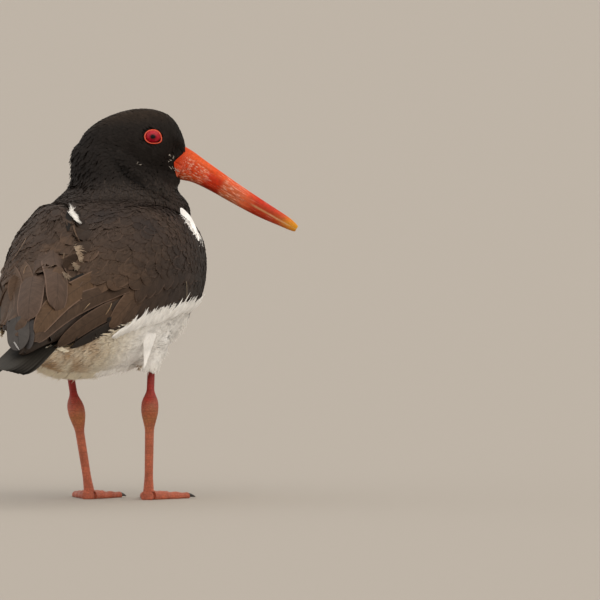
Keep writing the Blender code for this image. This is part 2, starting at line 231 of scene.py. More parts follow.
def add_floor():
    """One large square at the height of the soles."""
    shape = bmesh.new()
    bmesh.ops.create_grid(shape, x_segments=1, y_segments=1, size=FLOOR_HALF)
    mesh = bpy.data.meshes.new("floor")
    shape.to_mesh(mesh)
    shape.free()
    floor = bpy.data.objects.new("floor", mesh)
    # Matt paper, which gives the eye an even pale ground without a shine.
    paper, _ = new_material("matt_paper", Base_Color=rgba(FLOOR_COLOUR), Roughness=0.9)
    mesh.materials.append(paper)
    bpy.context.scene.collection.objects.link(floor)


def add_light():
    """An even pale surrounding and the suns."""
    scene = bpy.context.scene
    scene.view_settings.view_transform = "Standard"
    scene.world = bpy.data.worlds.new("studio")
    scene.world.use_nodes = True
    surround = scene.world.node_tree.nodes["Background"]
    surround.inputs["Color"].default_value = rgba(SURROUND)
    surround.inputs["Strength"].default_value = SURROUND_STRENGTH
    for name, (side, width, strength, colour) in SUNS.items():
        data = bpy.data.lights.new(name, "SUN")
        data.energy, data.angle, data.color = strength, radians(width), linear(colour)
        lamp = bpy.data.objects.new(name, data)
        lamp.matrix_world = Vector(side).to_track_quat("Z", "Y").to_matrix().to_4x4()
        scene.collection.objects.link(lamp)


add_floor()
add_light()
print("floor and", len(SUNS), "suns")

# %% [markdown]
# The bird looks back over its right shoulder, so head and bill are easiest to describe in
# axes of their own: X out of the face, and for the bill along it.

# %% The head's and the bill's own axes
HEAD_PLACE = np.array((36.5, -17.2, 207.5))
HEAD_TURN = radians(-74.5)
BILL_DROOP = radians(31)
BILL_ROOT = np.array((14.0, 0.0, -15.5))
EYE_FROM_MIDDLE = 12.9


def spun(points, angle, first=0, second=1):
    """The points, turned by an angle from one axis towards another."""
    points = np.array(points, float)
    a, b = points[..., first].copy(), points[..., second].copy()
    c, s = cos(angle), sin(angle)
    points[..., first], points[..., second] = a * c - b * s, a * s + b * c
    return points


def from_head(points):
    """The bird's axes for points in the head's own."""
    return spun(points, HEAD_TURN) + HEAD_PLACE


def to_head(points):
    """The head's own axes for points in the bird's."""
    return spun(np.asarray(points, float) - HEAD_PLACE, -HEAD_TURN)


def from_bill(points):
    """The bird's axes for points in the bill's own."""
    return from_head(spun(points, -BILL_DROOP, 0, 2) + BILL_ROOT)


def to_bill(points):
    """The bill's own axes for points in the bird's."""
    return spun(to_head(points) - BILL_ROOT, BILL_DROOP, 0, 2)


print("the bill's root is at", from_bill((0.0, 0.0, 0.0)).round(1))

# %% [markdown]
# The cheek folds over the neck, the left scapulars stand off the mantle, and face, nape
# and thigh are drawn in. Each of these is a relief: a height in mm to add to the smooth
# outline.

# %% Reliefs of the plumage
# Where the turned head's cheek folds over the neck: along and up in the head's own axes.
FOLD = ((-22.4, -8.8), (-20, -12.8), (-16.6, -17.9), (-12, -22.5), (-6.2, -25.4),
        (0.1, -28.3), (5.8, -30.7), (9.8, -33))
FOLD_SLOPE = 0.8  # turns a height over the fold into a distance from it
CHEEK_STANDS, FOLD_SINKS = 1.6, 1.7  # mm


def from_fold(points):
    """(distance above the fold, how strong it is) at each place."""
    x, y, z = xyz(to_head(points))
    off = (z - np.interp(x, *np.array(FOLD).T)) * FOLD_SLOPE
    on_cheek = eased(x, -25, -15) * eased(13 - x, 0, 5) * eased(-y, 6, 12)
    return off, on_cheek * eased(12 - np.abs(off), 0, 4)


def hump(distance, width):
    """1 where a distance is 0, and soft down to 0 at about twice the width."""
    return np.exp(-((distance / width) ** 2))


def fold_relief(points):
    """How far the cheek stands out over the neck, in mm, or sinks below the fold."""
    off, strength = from_fold(points)
    return strength * (CHEEK_STANDS * hump(off - 3.0, 2.5) - FOLD_SINKS * hump(off + 1.0, 1.6))


# The inner edge of the left scapulars in the photograph: y and x of its pixels. They stand
# off the mantle as a rounded mass.
MASS_EDGE = ((198, 58), (205, 66), (212, 72), (225, 78), (240, 82), (252, 82), (262, 78),
             (270, 72), (280, 66), (290, 65), (300, 64), (310, 59), (320, 48), (330, 37),
             (345, 32))
MASS_STANDS, GAP_SINKS = 3.4, 1.4  # mm


def pixel_of(points):
    """Where the camera shows each place, in pixels."""
    return ORIGIN_PIXEL[0] + points @ RIGHT / PIXEL, ORIGIN_PIXEL[1] - points @ UP / PIXEL


def left_mass(points):
    """(pixels inside the edge of the left scapulars, how clear that edge is)."""
    x, y = pixel_of(points)
    inside = np.interp(y, *np.array(MASS_EDGE, float).T) - x
    on_back = eased(points[..., 1], -22, -14) * eased(points[..., 2], 100, 112)
    return inside, eased(y, 200, 214) * eased(345 - y, 0, 20) * on_back


def mass_relief(points):
    """How far the left scapulars stand out, in mm, and the gap beside them sinks."""
    inside, clear = left_mass(points)
    stands = MASS_STANDS * eased(inside, -1, 4) * (1 - eased(inside, 16, 50))
    return clear * (stands - GAP_SINKS * hump(inside + 4, 4))


FACE_NARROWS, NAPE_SINKS, CROWN_SINKS, HEM_SINKS = 3.4, 3.8, 1.5, 1.9  # mm


def lore_relief(points):
    """How far the face narrows from the eyes to the corners of the mouth."""
    x, y, z = xyz(to_bill(points))
    near = eased(x, -13, -1) * eased(np.abs(y), 4, 10) * eased(13 - np.abs(z), 0, 5)
    return -FACE_NARROWS * (near * eased(points[..., 2], 178, 186))


def nape_relief(points):
    """How far the nape is drawn in under the ruffled edge of the head."""
    x, y, z = xyz(to_head(points))
    behind = eased(-x, 28, 42) * hump(y + 10, 18)
    return -behind * (NAPE_SINKS * hump(z + 28, 8) + CROWN_SINKS * hump(z + 8, 14))


def thigh_relief(points):
    """How far the right thigh's hem is drawn in towards the leg."""
    x, y, z = xyz(points)
    on_hem = eased(15 - np.hypot(x + 14, y + 29), 0, 4)
    return -HEM_SINKS * on_hem * eased(90 - z, 0, 11)


RELIEFS = (fold_relief, mass_relief, lore_relief, nape_relief, thigh_relief)
print(len(RELIEFS), "reliefs")

# %% [markdown]
# A voxel remesh welds all the feathered solids into one smooth closed surface, the outline
# that the feathers' tips reach. The skin is made the same way, and sinks below it by the
# depth of the coat.

# %% Welding the flesh into one surface
FLESH = ("trunk", "neck", "head", "wing_left", "wing_right", "thigh_left", "thigh_right")
VOXEL = 1.7
# Spheres that close the sockets of bill and eyes, and the crease between belly and thighs:
# middle and radius.
PLUGS = (
    (from_bill((-1.0, 0.0, 1.0)), 7.5),
    (from_head((0.0, EYE_FROM_MIDDLE - 1.5, 0.0)), 5.8),
    (from_head((0.0, 1.5 - EYE_FROM_MIDDLE, 0.0)), 5.8),
    ((-11.0, -19.0, 82.0), 8.5),
    ((-11.0, 11.0, 82.0), 8.5),
)


def largest_island(shape):
    """Leaves only the biggest connected part of a bmesh, without the voids inside it."""
    left, islands = set(shape.verts), []
    while left:
        edge, found = [left.pop()], set()
        while edge:
            vertex = edge.pop()
            found.add(vertex)
            near = [e.other_vert(vertex) for e in vertex.link_edges]
            fresh = [v for v in near if v in left]
            left.difference_update(fresh)
            edge.extend(fresh)
        islands.append(found)
    islands.sort(key=len)
    spare = [v for island in islands[:-1] for v in island]
    bmesh.ops.delete(shape, geom=spare, context="VERTS")


def welded(nodes, smoothing, swell=0.0):
    """One closed mesh round copies of the nodes, remeshed and smoothed."""
    shape = bmesh.new()
    for name in nodes:
        shape.from_mesh(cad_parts[name].data)
    bmesh.ops.remove_doubles(shape, verts=shape.verts, dist=MM / 1000)
    for middle, radius in PLUGS:
        place = Matrix.Translation(Vector(to_row(middle)))
        bmesh.ops.create_icosphere(shape, subdivisions=3, radius=radius * MM, matrix=place)
    if swell:
        shape.normal_update()
        for vertex in shape.verts:
            vertex.co += vertex.normal * swell * MM
    mesh = bpy.data.meshes.new("welded")
    shape.to_mesh(mesh)
    shape.free()
    raw = bpy.data.objects.new("welded", mesh)
    bpy.context.scene.collection.objects.link(raw)
    remesh = raw.modifiers.new("weld", "REMESH")
    remesh.mode, remesh.voxel_size = "VOXEL", VOXEL * MM
    smooth = raw.modifiers.new("smooth", "SMOOTH")
    smooth.factor, smooth.iterations = 0.5, smoothing
    graph = bpy.context.evaluated_depsgraph_get()
    result = bpy.data.meshes.new_from_object(raw.evaluated_get(graph), depsgraph=graph)
    bpy.data.objects.remove(raw)
    shape = bmesh.new()
    shape.from_mesh(result)
    largest_island(shape)
    bmesh.ops.recalc_face_normals(shape, faces=shape.faces)
    shape.normal_update()
    places = np.array([vertex.co for vertex in shape.verts]) / MM - ORIGIN
    heights = sum(relief(places) for relief in RELIEFS)
    for vertex, height in zip(shape.verts, heights.tolist()):
        vertex.co += vertex.normal * height * MM
    shape.to_mesh(result)
    shape.free()
    return result


print("flesh to weld:", len(FLESH), "nodes, with", len(PLUGS), "plugs")

# %% [markdown]
# Feathers are laid by asking the outline for its nearest point, or for the point where a
# ray meets it. A BVH tree answers both, and normals are blended from a face's corners, so
# that feathers don't show its facets.

# %% The plumage's outline
OUTLINE_SMOOTHING, OUTLINE_SWELL = 6, 0.3


class Shell:
    """A surface that points are laid on, with smooth normals."""

    def __init__(self, mesh):
        count = len(mesh.vertices)
        places = np.empty(count * 3, np.float32)
        mesh.vertices.foreach_get("co", places)
        self.spots = places.reshape(-1, 3).astype(float) / MM - ORIGIN
        normals = np.empty(count * 3, np.float32)
        mesh.vertices.foreach_get("normal", normals)
        self.normals = normals.reshape(-1, 3).astype(float)
        faces = [tuple(face.vertices) for face in mesh.polygons]
        self.corners = np.array([f if len(f) == 4 else (*f, f[-1]) for f in faces])
        self.tree = BVHTree.FromPolygons(self.spots.tolist(), faces)

    def smooth_normals(self, places, faces):
        """Normals at places on faces, weighted towards each face's nearest corners."""
        ring = self.corners[faces]
        apart = ((self.spots[ring] - places[:, None]) ** 2).sum(-1)
        weight = 1 / (apart + 0.05)
        return unit((self.normals[ring] * weight[..., None]).sum(1))

    def nearest(self, points):
        """(place, normal) on the surface nearest each point."""
        found = [self.tree.find_nearest(p) for p in points.reshape(-1, 3).tolist()]
        places = np.array([f[0] for f in found])
        normals = self.smooth_normals(places, np.array([f[2] for f in found], int))
        return places.reshape(points.shape), normals.reshape(points.shape)

    def cast(self, starts, directions):
        """(place, normal, hit) where rays from outside first meet the surface."""
        shape = starts.shape
        starts, ways = (np.broadcast_to(v, shape).reshape(-1, 3) for v in (starts, directions))
        found = [self.tree.ray_cast(s, d) for s, d in zip(starts.tolist(), ways.tolist())]
        hit = np.array([f[0] is not None for f in found])
        places = np.array([f[0] if f[0] is not None else (0, 0, 0) for f in found], float)
        faces = np.array([f[2] if f[2] is not None else 0 for f in found])
        normals = self.smooth_normals(places, faces)
        return places.reshape(shape), normals.reshape(shape), hit.reshape(shape[:-1])


wing_points = ("wing_point_left", "wing_point_right")
outline = Shell(welded(FLESH + wing_points, OUTLINE_SMOOTHING, OUTLINE_SWELL))
print("outline", len(outline.spots), "points")

# %% [markdown]
# A place on the plumage is named by how far forward it is, and by its angle round the
# bird's axis from the middle of the back, positive on the left. The photograph's own marks
# are placed by the pixel where they show.

# %% Places on the bird
# The axis, by x: its height.
AXIS = ((-190, 86), (-173, 88.5), (-160, 91), (-130, 96), (-100, 104.5), (-80, 111.5),
        (-56, 119), (-28, 126), (2, 130), (79, 131))
OUTSIDE = 150  # mm from the axis, where rays start
LENS_CLEAR = 500  # mm before the bird, where rays from the lens start


def along_table(x, table, column=1):
    """The value at x on the straight lines through a table whose first column is x."""
    rows = np.array(table, float)
    return np.interp(x, rows[:, 0], rows[:, column])


def axis_height(x):
    return along_table(x, AXIS)


def at(x, degrees):
    """(place, normal) on the outline at x and an angle from the middle of the back."""
    x, angle = np.broadcast_arrays(np.asarray(x, float), np.radians(degrees))
    away = np.stack([np.zeros_like(x), np.sin(angle), np.cos(angle)], -1)
    middle = np.stack([x, np.full_like(x, TRUNK_ASIDE), axis_height(x)], -1)
    places, normals, hit = outline.cast(middle + away * OUTSIDE, -away)
    return np.where(hit[..., None], places, middle), np.where(hit[..., None], normals, away)


def seen(pixels):
    """(place, normal) on the outline where the photograph's pixels look, or nearly look."""
    pixels = np.asarray(pixels, float)
    lens = in_view_plane(PICTURE / 2, PICTURE / 2) - LOOK * FAR
    towards = unit(in_view_plane(pixels[..., 0:1], pixels[..., 1:2]) - lens)
    places, normals, hit = outline.cast(lens + towards * (FAR - LENS_CLEAR), towards)
    depth = ((places - lens) * towards).sum(-1)[hit].mean()
    beside, beside_normals = outline.nearest(lens + towards * depth)
    hit = hit[..., None]
    return np.where(hit, places, beside), np.where(hit, normals, beside_normals)


def degrees_of(points):
    """Each point's angle from the middle of the back, positive on the left."""
    aside, over = points[..., 1] - TRUNK_ASIDE, points[..., 2] - axis_height(points[..., 0])
    return np.degrees(np.arctan2(aside, over))


print("back at x=0", at(0.0, 0.0)[0].round(1), "mantle pixel", seen((100, 200))[0].round(1))

# %% [markdown]
# ## Markings
# Head, neck and breast are black, the mantle brown-black and the wings worn brown, over
# white underparts that turn cream and buff towards the vent, partly by staining and partly
# by painted shade. One function says the colour at any place, with painted light on the
# crown and painted shade in the cheek's fold and beside the left scapulars, and skin and
# feathers both ask it.

# %% Markings
HEAD_BLACK = "1d1917"
# Painted light: a lighter brown for the top of the head, where the light falls on the crown.
CROWN_PAINTED_LIGHT = "2d241d"
NECK_BLACK = "2e2825"
BREAST_BLACK = "272220"
MANTLE = "3c3028"
MANTLE_DARK = "2f2724"
WING_BROWN = "47372b"
WORN_BROWN = "604b3b"
RUST = "6e4e37"
QUILL_BLACK = "26211e"
SLATE = "484442"
TAIL_BLACK = "2b2823"
WHITE = "fbfaf8"
CREAM = "ddd0b2"
BUFF = "ad8449"
# Where the white begins, by x: the height of the boundary on the sides.
WHITE_BELOW = ((-200, 0), (-150, 0), (-142, 89), (-130, 92.5), (-110, 95), (-100, 97.5),
               (-87, 99.5), (-77, 103.5), (-63, 108), (-40, 110), (-28, 111), (0, 112),
               (19, 113), (40, 109), (60, 105), (80, 103))
# The white leaf in front of each folded wing: the angle of its middle from the back and to
# its ends, x there, how x shifts towards its ends, and half its width in mm.
LEAF_TURN, LEAF_REACH, LEAF_X, LEAF_LEAN, LEAF_HALF = 62, 9, 27, 4, 9.5
RUST_SPOT = (117, 300)  # pixel of the rusty patch on the right wing


WAVES = 7  # how many sine waves add up to a noise


def waves(points, size, seed):
    """Smooth seeded noise between about -1 and 1, with patches of a size in mm."""
    rolls = default_rng(seed)
    total = np.zeros(points.shape[:-1])
    for _ in range(WAVES):
        direction = unit(rolls.normal(size=3)) * (tau / size) * rolls.uniform(0.6, 1.5)
        total += np.sin(points @ direction + rolls.uniform(0, tau))
    return total / 3.2


def whiteness(points):
    """1 where the plumage is white, 0 where it is dark."""
    level = along_table(points[..., 0], WHITE_BELOW)
    return eased(level - points[..., 2] + 1.2 * waves(points, 9.0, 3), -0.6, 0.6)


def shoulder_patch(points):
    """1 on the white leaf in front of each folded wing."""
    along = (np.abs(degrees_of(points)) - LEAF_TURN) / LEAF_REACH
    half = LEAF_HALF * np.sqrt(np.clip(1 - along**2, 1e-4, 1))
    across = (points[..., 0] - LEAF_X - LEAF_LEAN * along) / half
    return eased(1 - np.maximum(np.abs(along), np.abs(across)), 0.0, 0.08)


def paleness(points):
    """1 on all white plumage, 0 where it is dark."""
    return np.maximum(whiteness(points), shoulder_patch(points))


def dark_tone(points):
    """The linear colour of head, neck, mantle and wings at each place, painted light and shade
    too.
    """
    x, _, z = xyz(points)
    turn = np.abs(degrees_of(points))
    patches = 0.5 + 0.5 * waves(points, 34.0, 5)
    mantle = mix(linear(MANTLE_DARK), linear(MANTLE), np.clip(patches, 0, 1))
    rear = mix(mantle, linear(WING_BROWN), eased(-x, 20, 95))
    worn = 0.6 * eased(waves(points, 20.0, 8), 0.0, 0.8) * eased(-x, 35, 90)
    rear = mix(rear, linear(WORN_BROWN), worn)
    front = mix(linear(NECK_BLACK), linear(HEAD_BLACK), eased(z, 176, 190))
    front = mix(front, linear(BREAST_BLACK), eased(turn, 60, 95) * eased(170 - z, 0, 20))
    # Painted light: the top of the head turns lighter brown.
    front = mix(front, linear(CROWN_PAINTED_LIGHT), eased(to_head(points)[..., 2], 4, 14))
    across, down = pixel_of(points)
    beside, below = across - RUST_SPOT[0], down - RUST_SPOT[1]
    rusty = np.exp(-((beside / 16) ** 2) - (below / 15) ** 2)
    rear = mix(rear, linear(RUST), 0.7 * rusty * eased(waves(points, 13.0, 12), -0.4, 0.8))
    rear = mix(rear, linear(SLATE), eased(down, 318, 330) * eased(40 - across, 0, 8))
    colour = mix(rear, front, np.maximum(eased(x, -6, 24), eased(z, 163, 178)))
    # Painted shade: darker along the cheek's fold over the neck, where shade falls.
    off, strength = from_fold(points)
    colour = colour * (1 - 0.9 * strength * hump(off + 0.5, 2.5))[..., None]
    # Painted shade: darker in the gap just outside the edge of the left scapulars.
    inside, clear = left_mass(points)
    return colour * (1 - 0.55 * clear * hump(inside + 3.5, 3.5))[..., None]


def under_tone(points):
    """The white underparts' linear colour, with staining and painted shade towards the vent."""
    x = points[..., 0]
    # Cream and then buff towards the vent: partly real staining, partly painted shade.
    under = mix(linear(WHITE), linear(CREAM), eased(-x, 35, 80) * 0.8)
    stain_and_shade = (0.6 + 0.45 * waves(points, 18.0, 9)).clip(0, 1.0)
    return mix(under, linear(BUFF), eased(-x, 62, 105) * stain_and_shade)


def markings(points):
    """The plumage's linear colour at each place, painted light and shade included."""
    return mix(dark_tone(points), under_tone(points), paleness(points))


print("belly is white:", whiteness(np.array((0.0, -20.0, 80.0))))

# %% [markdown]
# ## Skin
# One skin stands for all the flesh, so no seam shows. Each point sinks inwards by the
# coat's depth there, but by no more than a third of the flesh's thickness, so that the
# folded wing stays whole.

# %% Skin
SKIN_SMOOTHING = 4
THIN_SHARE = 0.33
JUST_INSIDE = 0.05  # mm, where a ray through the flesh starts
OPEN = 50.0  # mm, how thick flesh counts where a ray finds no other side
# The coat's depth, in mm.
FACE_DEPTH, HEAD_DEPTH, NECK_DEPTH = 0.8, 1.3, 1.8
TRUNK_DEPTH, BELLY_DEPTH, THIGH_DEPTH = 2.4, 1.6, 1.3
FACE_RADII = (11.0, 24.0)


def coat_depth(points):
    """How deep the plumage is at each place."""
    x, _, z = xyz(points)
    depth = TRUNK_DEPTH + (BELLY_DEPTH - TRUNK_DEPTH) * whiteness(points)
    depth += (NECK_DEPTH - depth) * eased(z, 168, 180)
    depth += (HEAD_DEPTH - depth) * eased(z, 180, 196)
    bill = norm(points - from_bill((6.0, 0.0, 0.0)))
    eye = norm(np.abs(to_head(points)) - (0, EYE_FROM_MIDDLE, 0))
    near = 1 - eased(np.minimum(bill - 4, eye), *FACE_RADII)
    depth += (FACE_DEPTH - depth) * near * eased(z, 180, 190)
    return depth + (THIGH_DEPTH - depth) * eased(84 - z, 0, 6)


def add_piece(name, mesh, look, replaced=()):
    """A piece with its place in its mesh, that rides on the bird. A look is (finish, unused slot).
    """
    finish, slot = look
    piece = bpy.data.objects.new(name, mesh)
    mesh.materials.append(finish)
    bpy.context.scene.collection.objects.link(piece)
    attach(piece, "root")
    if replaced:
        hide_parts(*replaced)
    return piece


def lay_tints(mesh, colours):
    """Keeps a linear colour, and a fourth value as alpha, at each corner of the mesh."""
    tints = np.ones((len(mesh.vertices), 4), np.float32)
    tints[:, : colours.shape[-1]] = colours
    layer = mesh.color_attributes.new("tint", "FLOAT_COLOR", "POINT")
    layer.data.foreach_set("color", tints.ravel())


def unwrap(piece):
    """Flattens the piece's own shape into the map that the export bakes through."""
    piece.data.uv_layers.new(name="OFBake")
    bpy.context.view_layer.objects.active = piece
    piece.select_set(True)
    bpy.ops.object.mode_set(mode="EDIT")
    bpy.ops.mesh.select_all(action="SELECT")
    bpy.ops.uv.smart_project(angle_limit=radians(72), island_margin=0.004)
    bpy.ops.object.mode_set(mode="OBJECT")
    piece.select_set(False)


def make_skin(look):
    """The welded flesh, sunk below the outline by the coat's depth."""
    mesh = welded(FLESH, SKIN_SMOOTHING)
    shell = Shell(mesh)
    inwards = -shell.normals
    places, _, hit = shell.cast(shell.spots + inwards * JUST_INSIDE, inwards)
    thick = np.where(hit, norm(places - shell.spots), OPEN)
    sink = np.minimum(coat_depth(shell.spots), thick * THIN_SHARE)
    spots = shell.spots + inwards * sink[:, None]
    mesh.vertices.foreach_set("co", to_row(spots).astype(np.float32).ravel())
    shape = bmesh.new()
    shape.from_mesh(mesh)
    axes = {"use_axis_" + axis: True for axis in "xyz"}
    bmesh.ops.smooth_vert(shape, verts=shape.verts, factor=0.5, **axes)
    shape.to_mesh(mesh)
    shape.free()
    mesh.name = "skin"
    mesh.shade_smooth()
    lay_tints(mesh, markings(spots))
    skin = add_piece("skin", mesh, look, FLESH)
    unwrap(skin)
    return skin


PIMPLE = 1.6  # mm from one feather's root to the next


def skin_finish():
    """Bare skin between feather roots: dull, dry and darker than the plumage over it."""
    material, add = new_material("bird_skin", Roughness=0.85, Specular_IOR_Level=0.1)
    tint = add("Attribute", attribute_name="tint")
    place = add("TexCoord", out="Object")
    pimples = add("TexVoronoi", {"Vector": place, "Scale": 1 / (PIMPLE * MM)})
    shade = add("MapRange", {"Value": pimples, "To Min": 0.84, "To Max": 1.0})
    colour = add("Mix", {"Factor": 1.0, "A": tint, "B": shade}, **DARKENED)
    return dressed(material, colour, pimples, 0.4, 0.2)


skin = make_skin((skin_finish(), "black_plumage"))
print("skin", len(skin.data.vertices), "points")

# %% [markdown]
# ## Feathers
# A feather is a thin closed vane: a cambered top, a shallow underside and a rim they
# share. One function joins a whole coat into a single mesh. Each vane carries a map from
# quill to tip, a tint, with how much its fringe shows as alpha, and its size in mm. On the
# export's map it is a small patch where it grows.

# %% Vanes joined into one mesh
THICKNESS = 0.22  # mm
TIP_SHARE = 0.05  # a tip's width, as a share of the widest
TIP_CROWDING = 1.45
PATCH = 0.003  # how wide a tuft's patch is on the bake's map
VANE_SHARP = radians(70)  # rims stay crisp, and vanes smooth


def vane_shares(rows):
    """Shares of the way from quill to tip, closer together towards the tip."""
    return 1 - (1 - np.arange(rows + 1) / rows) ** TIP_CROWDING


def vane_profile(share, narrow, round_from, power):
    """A vane's half width from quill to tip, as a share of its widest."""
    root = narrow + (1 - narrow) * np.clip(share / 0.35, 0, 1) ** 0.7
    past = np.clip((share - round_from) / (1 - round_from), 0, 1)
    return np.maximum(root * (1 - past**power) ** (1 / power), TIP_SHARE)


def vane_faces(rows, columns):
    """Corner numbers of one closed vane: its top grid, then the row under its middle."""
    wide = columns + 1
    under = (rows + 1) * wide
    faces = []
    for r in range(rows):
        left, right = r * wide, r * wide + columns
        faces += [[c, c + wide, c + wide + 1, c + 1] for c in range(left, right)]
        faces.append([left, under + r, under + r + 1, left + wide])
        faces.append([under + r, right, right + wide, under + r + 1])
    faces.append([*range(wide), under])
    faces.append([under + rows, *range(rows * wide + columns, rows * wide - 1, -1)])
    return faces


def join_vanes(name, top, up, tints, sizes, patches, cell=PATCH):
    """One mesh from vanes' top grids of shape (vane, row, column, 3)."""
    count, rows, columns = top.shape[0], top.shape[1] - 1, top.shape[2] - 1
    middle = (top[:, :, 0] + top[:, :, -1]) / 2 - up * THICKNESS
    spots = np.concatenate([top.reshape(count, -1, 3), middle], 1)
    each = spots.shape[1]
    faces = vane_faces(rows, columns)
    loops = np.array([corner for face in faces for corner in face])
    sides = np.array([len(face) for face in faces])
    all_loops = (loops[None] + np.arange(count)[:, None] * each).ravel()
    all_sides = np.tile(sides, count)
    mesh = bpy.data.meshes.new(name)
    mesh.vertices.add(count * each)
    mesh.vertices.foreach_set("co", to_row(spots).astype(np.float32).ravel())
    mesh.loops.add(len(all_loops))
    mesh.loops.foreach_set("vertex_index", all_loops.astype(np.int32))
    mesh.polygons.add(len(all_sides))
    starts = np.concatenate([[0], np.cumsum(all_sides)[:-1]])
    mesh.polygons.foreach_set("loop_start", starts.astype(np.int32))
    mesh.update(calc_edges=True)
    mesh.shade_smooth()
    mesh.set_sharp_from_angle(angle=VANE_SHARP)

    share = vane_shares(rows)
    across, along = np.meshgrid(np.arange(columns + 1) / columns, share)
    middle_line = np.stack([np.full(rows + 1, 0.5), share], -1)
    local = np.concatenate([np.stack([across.ravel(), along.ravel()], -1), middle_line])
    on_vane = np.tile(local[loops], (count, 1))
    cell = np.broadcast_to(np.asarray(cell, float), (2,))
    on_patch = patches[:, None] + (local[loops][None] - 0.5) * cell
    for layer, values in (("OFBake", on_patch.reshape(-1, 2)), ("vane", on_vane)):
        made = mesh.uv_layers.new(name=layer, do_init=False)
        made.uv.foreach_set("vector", values.astype(np.float32).ravel())
    lay_tints(mesh, np.repeat(tints, each, 0))
    measures = np.repeat(sizes, each, 0).astype(np.float32)
    layer = mesh.attributes.new("feather", "FLOAT_VECTOR", "POINT")
    layer.data.foreach_set("vector", measures.ravel())
    return mesh


skin_shell = Shell(skin.data)
skin_map = np.empty(len(skin.data.loops) * 2, np.float32)
skin.data.uv_layers["OFBake"].uv.foreach_get("vector", skin_map)
skin_map = skin_map.reshape(-1, 2)
skin_starts = np.array([face.loop_start for face in skin.data.polygons])


def patch_places(points):
    """Where the skin under each root lies on the skin's own map."""
    found = [skin_shell.tree.find_nearest(p)[2] for p in points.tolist()]
    return skin_map[skin_starts[found]]


def triangles(rows, columns):
    """How many triangles one vane has."""
    return sum(len(face) - 2 for face in vane_faces(rows, columns))


print("a small vane has", triangles(4, 2), "triangles")

# %% [markdown]
# Feathers point away from the bill over the head, down the neck, and back along the body.
# Roots are strewn like darts: one is kept if no other is nearer than the spacing there,
# which gives the even but unruled look of real plumage.

# %% The lie of the plumage and its roots
BILL_BASE = from_bill((2.0, 0.0, 1.0))
DARTS = 5.0  # candidates for each root that fits


def lie(points, normals):
    """The direction in which the plumage lies at each place."""
    x, _, z = xyz(points)
    way = mix((-1.0, 0.0, -0.18), (-0.3, 0.0, -1.0), eased(x, 22, 66))
    way = mix(way, (-1.0, 0.0, -0.5), eased(100 - z, 0, 20) * eased(-x, -40, 0) * 0.5)
    way = mix(way, (-0.35, 0.0, -1.0), eased(z, 160, 182))
    from_face = unit(points - BILL_BASE)
    behind = eased(-to_head(points)[..., 0], 14, 40)
    over_head = unit(mix(from_face, np.broadcast_to((0.0, 0.0, -1.0), points.shape), 0.8 * behind))
    way = mix(unit(way), over_head, eased(z, 182, 194))
    way = mix(way, (0.0, 0.0, -1.0), eased(86 - z, 0, 10) * eased(6 - np.abs(x + 14), -10, 2))
    way = way - normals * (way * normals).sum(-1, keepdims=True)
    return unit(way)


def strew(keep, spacing, seed):
    """(roots, normals) spread over the outline where keep(places, normals) is true."""
    rolls = default_rng(seed)
    ring = outline.spots[outline.corners]
    area = norm(np.cross(ring[:, 2] - ring[:, 0], ring[:, 3] - ring[:, 1])) / 2
    middles = ring.mean(1)
    normals = unit(outline.normals[outline.corners].mean(1))
    wanted = np.where(keep(middles, normals), area * DARTS / spacing(middles) ** 2, 0)
    faces = np.repeat(np.arange(len(area)), rolls.poisson(wanted))
    faces = faces[rolls.permutation(len(faces))]
    a, b = rolls.random((2, len(faces), 1))
    blend = ((1 - a) * (1 - b), a * (1 - b), a * b, (1 - a) * b)
    spots = sum(ring[faces, i] * share for i, share in enumerate(blend))
    bends = outline.normals[outline.corners[faces]]
    ups = unit(sum(bends[:, i] * share for i, share in enumerate(blend)))
    gaps = spacing(spots)
    size = float(gaps.max())
    cells, kept = {}, []
    steps = [(i, j, k) for i in (-1, 0, 1) for j in (-1, 0, 1) for k in (-1, 0, 1)]
    for number, ((x, y, z), gap) in enumerate(zip(spots.tolist(), gaps.tolist())):
        i, j, k = (int(math.floor(v / size)) for v in (x, y, z))
        near = (o for s in steps for o in cells.get((i + s[0], j + s[1], k + s[2]), ()))
        if all((x - p) ** 2 + (y - q) ** 2 + (z - r) ** 2 > gap * gap for p, q, r in near):
            cells.setdefault((i, j, k), []).append((x, y, z))
            kept.append(number)
    return spots[kept], ups[kept]


def evenly(gap):
    """A spacing that is the same everywhere."""
    return lambda points: np.full(points.shape[:-1], gap)


print("plumage lies along", lie(*at(np.zeros(1), 60.0)).round(2), "at the shoulder")

# %% [markdown]
# Small feathers follow a smooth bend through three places on the outline. Each starts under
# its neighbours and rises to the outline at its tip, as tiles do.

# %% A coat of small feathers
ROOT_DEPTH = 0.36  # of the spacing
SMALL_ROWS, SMALL_COLUMNS = 4, 2


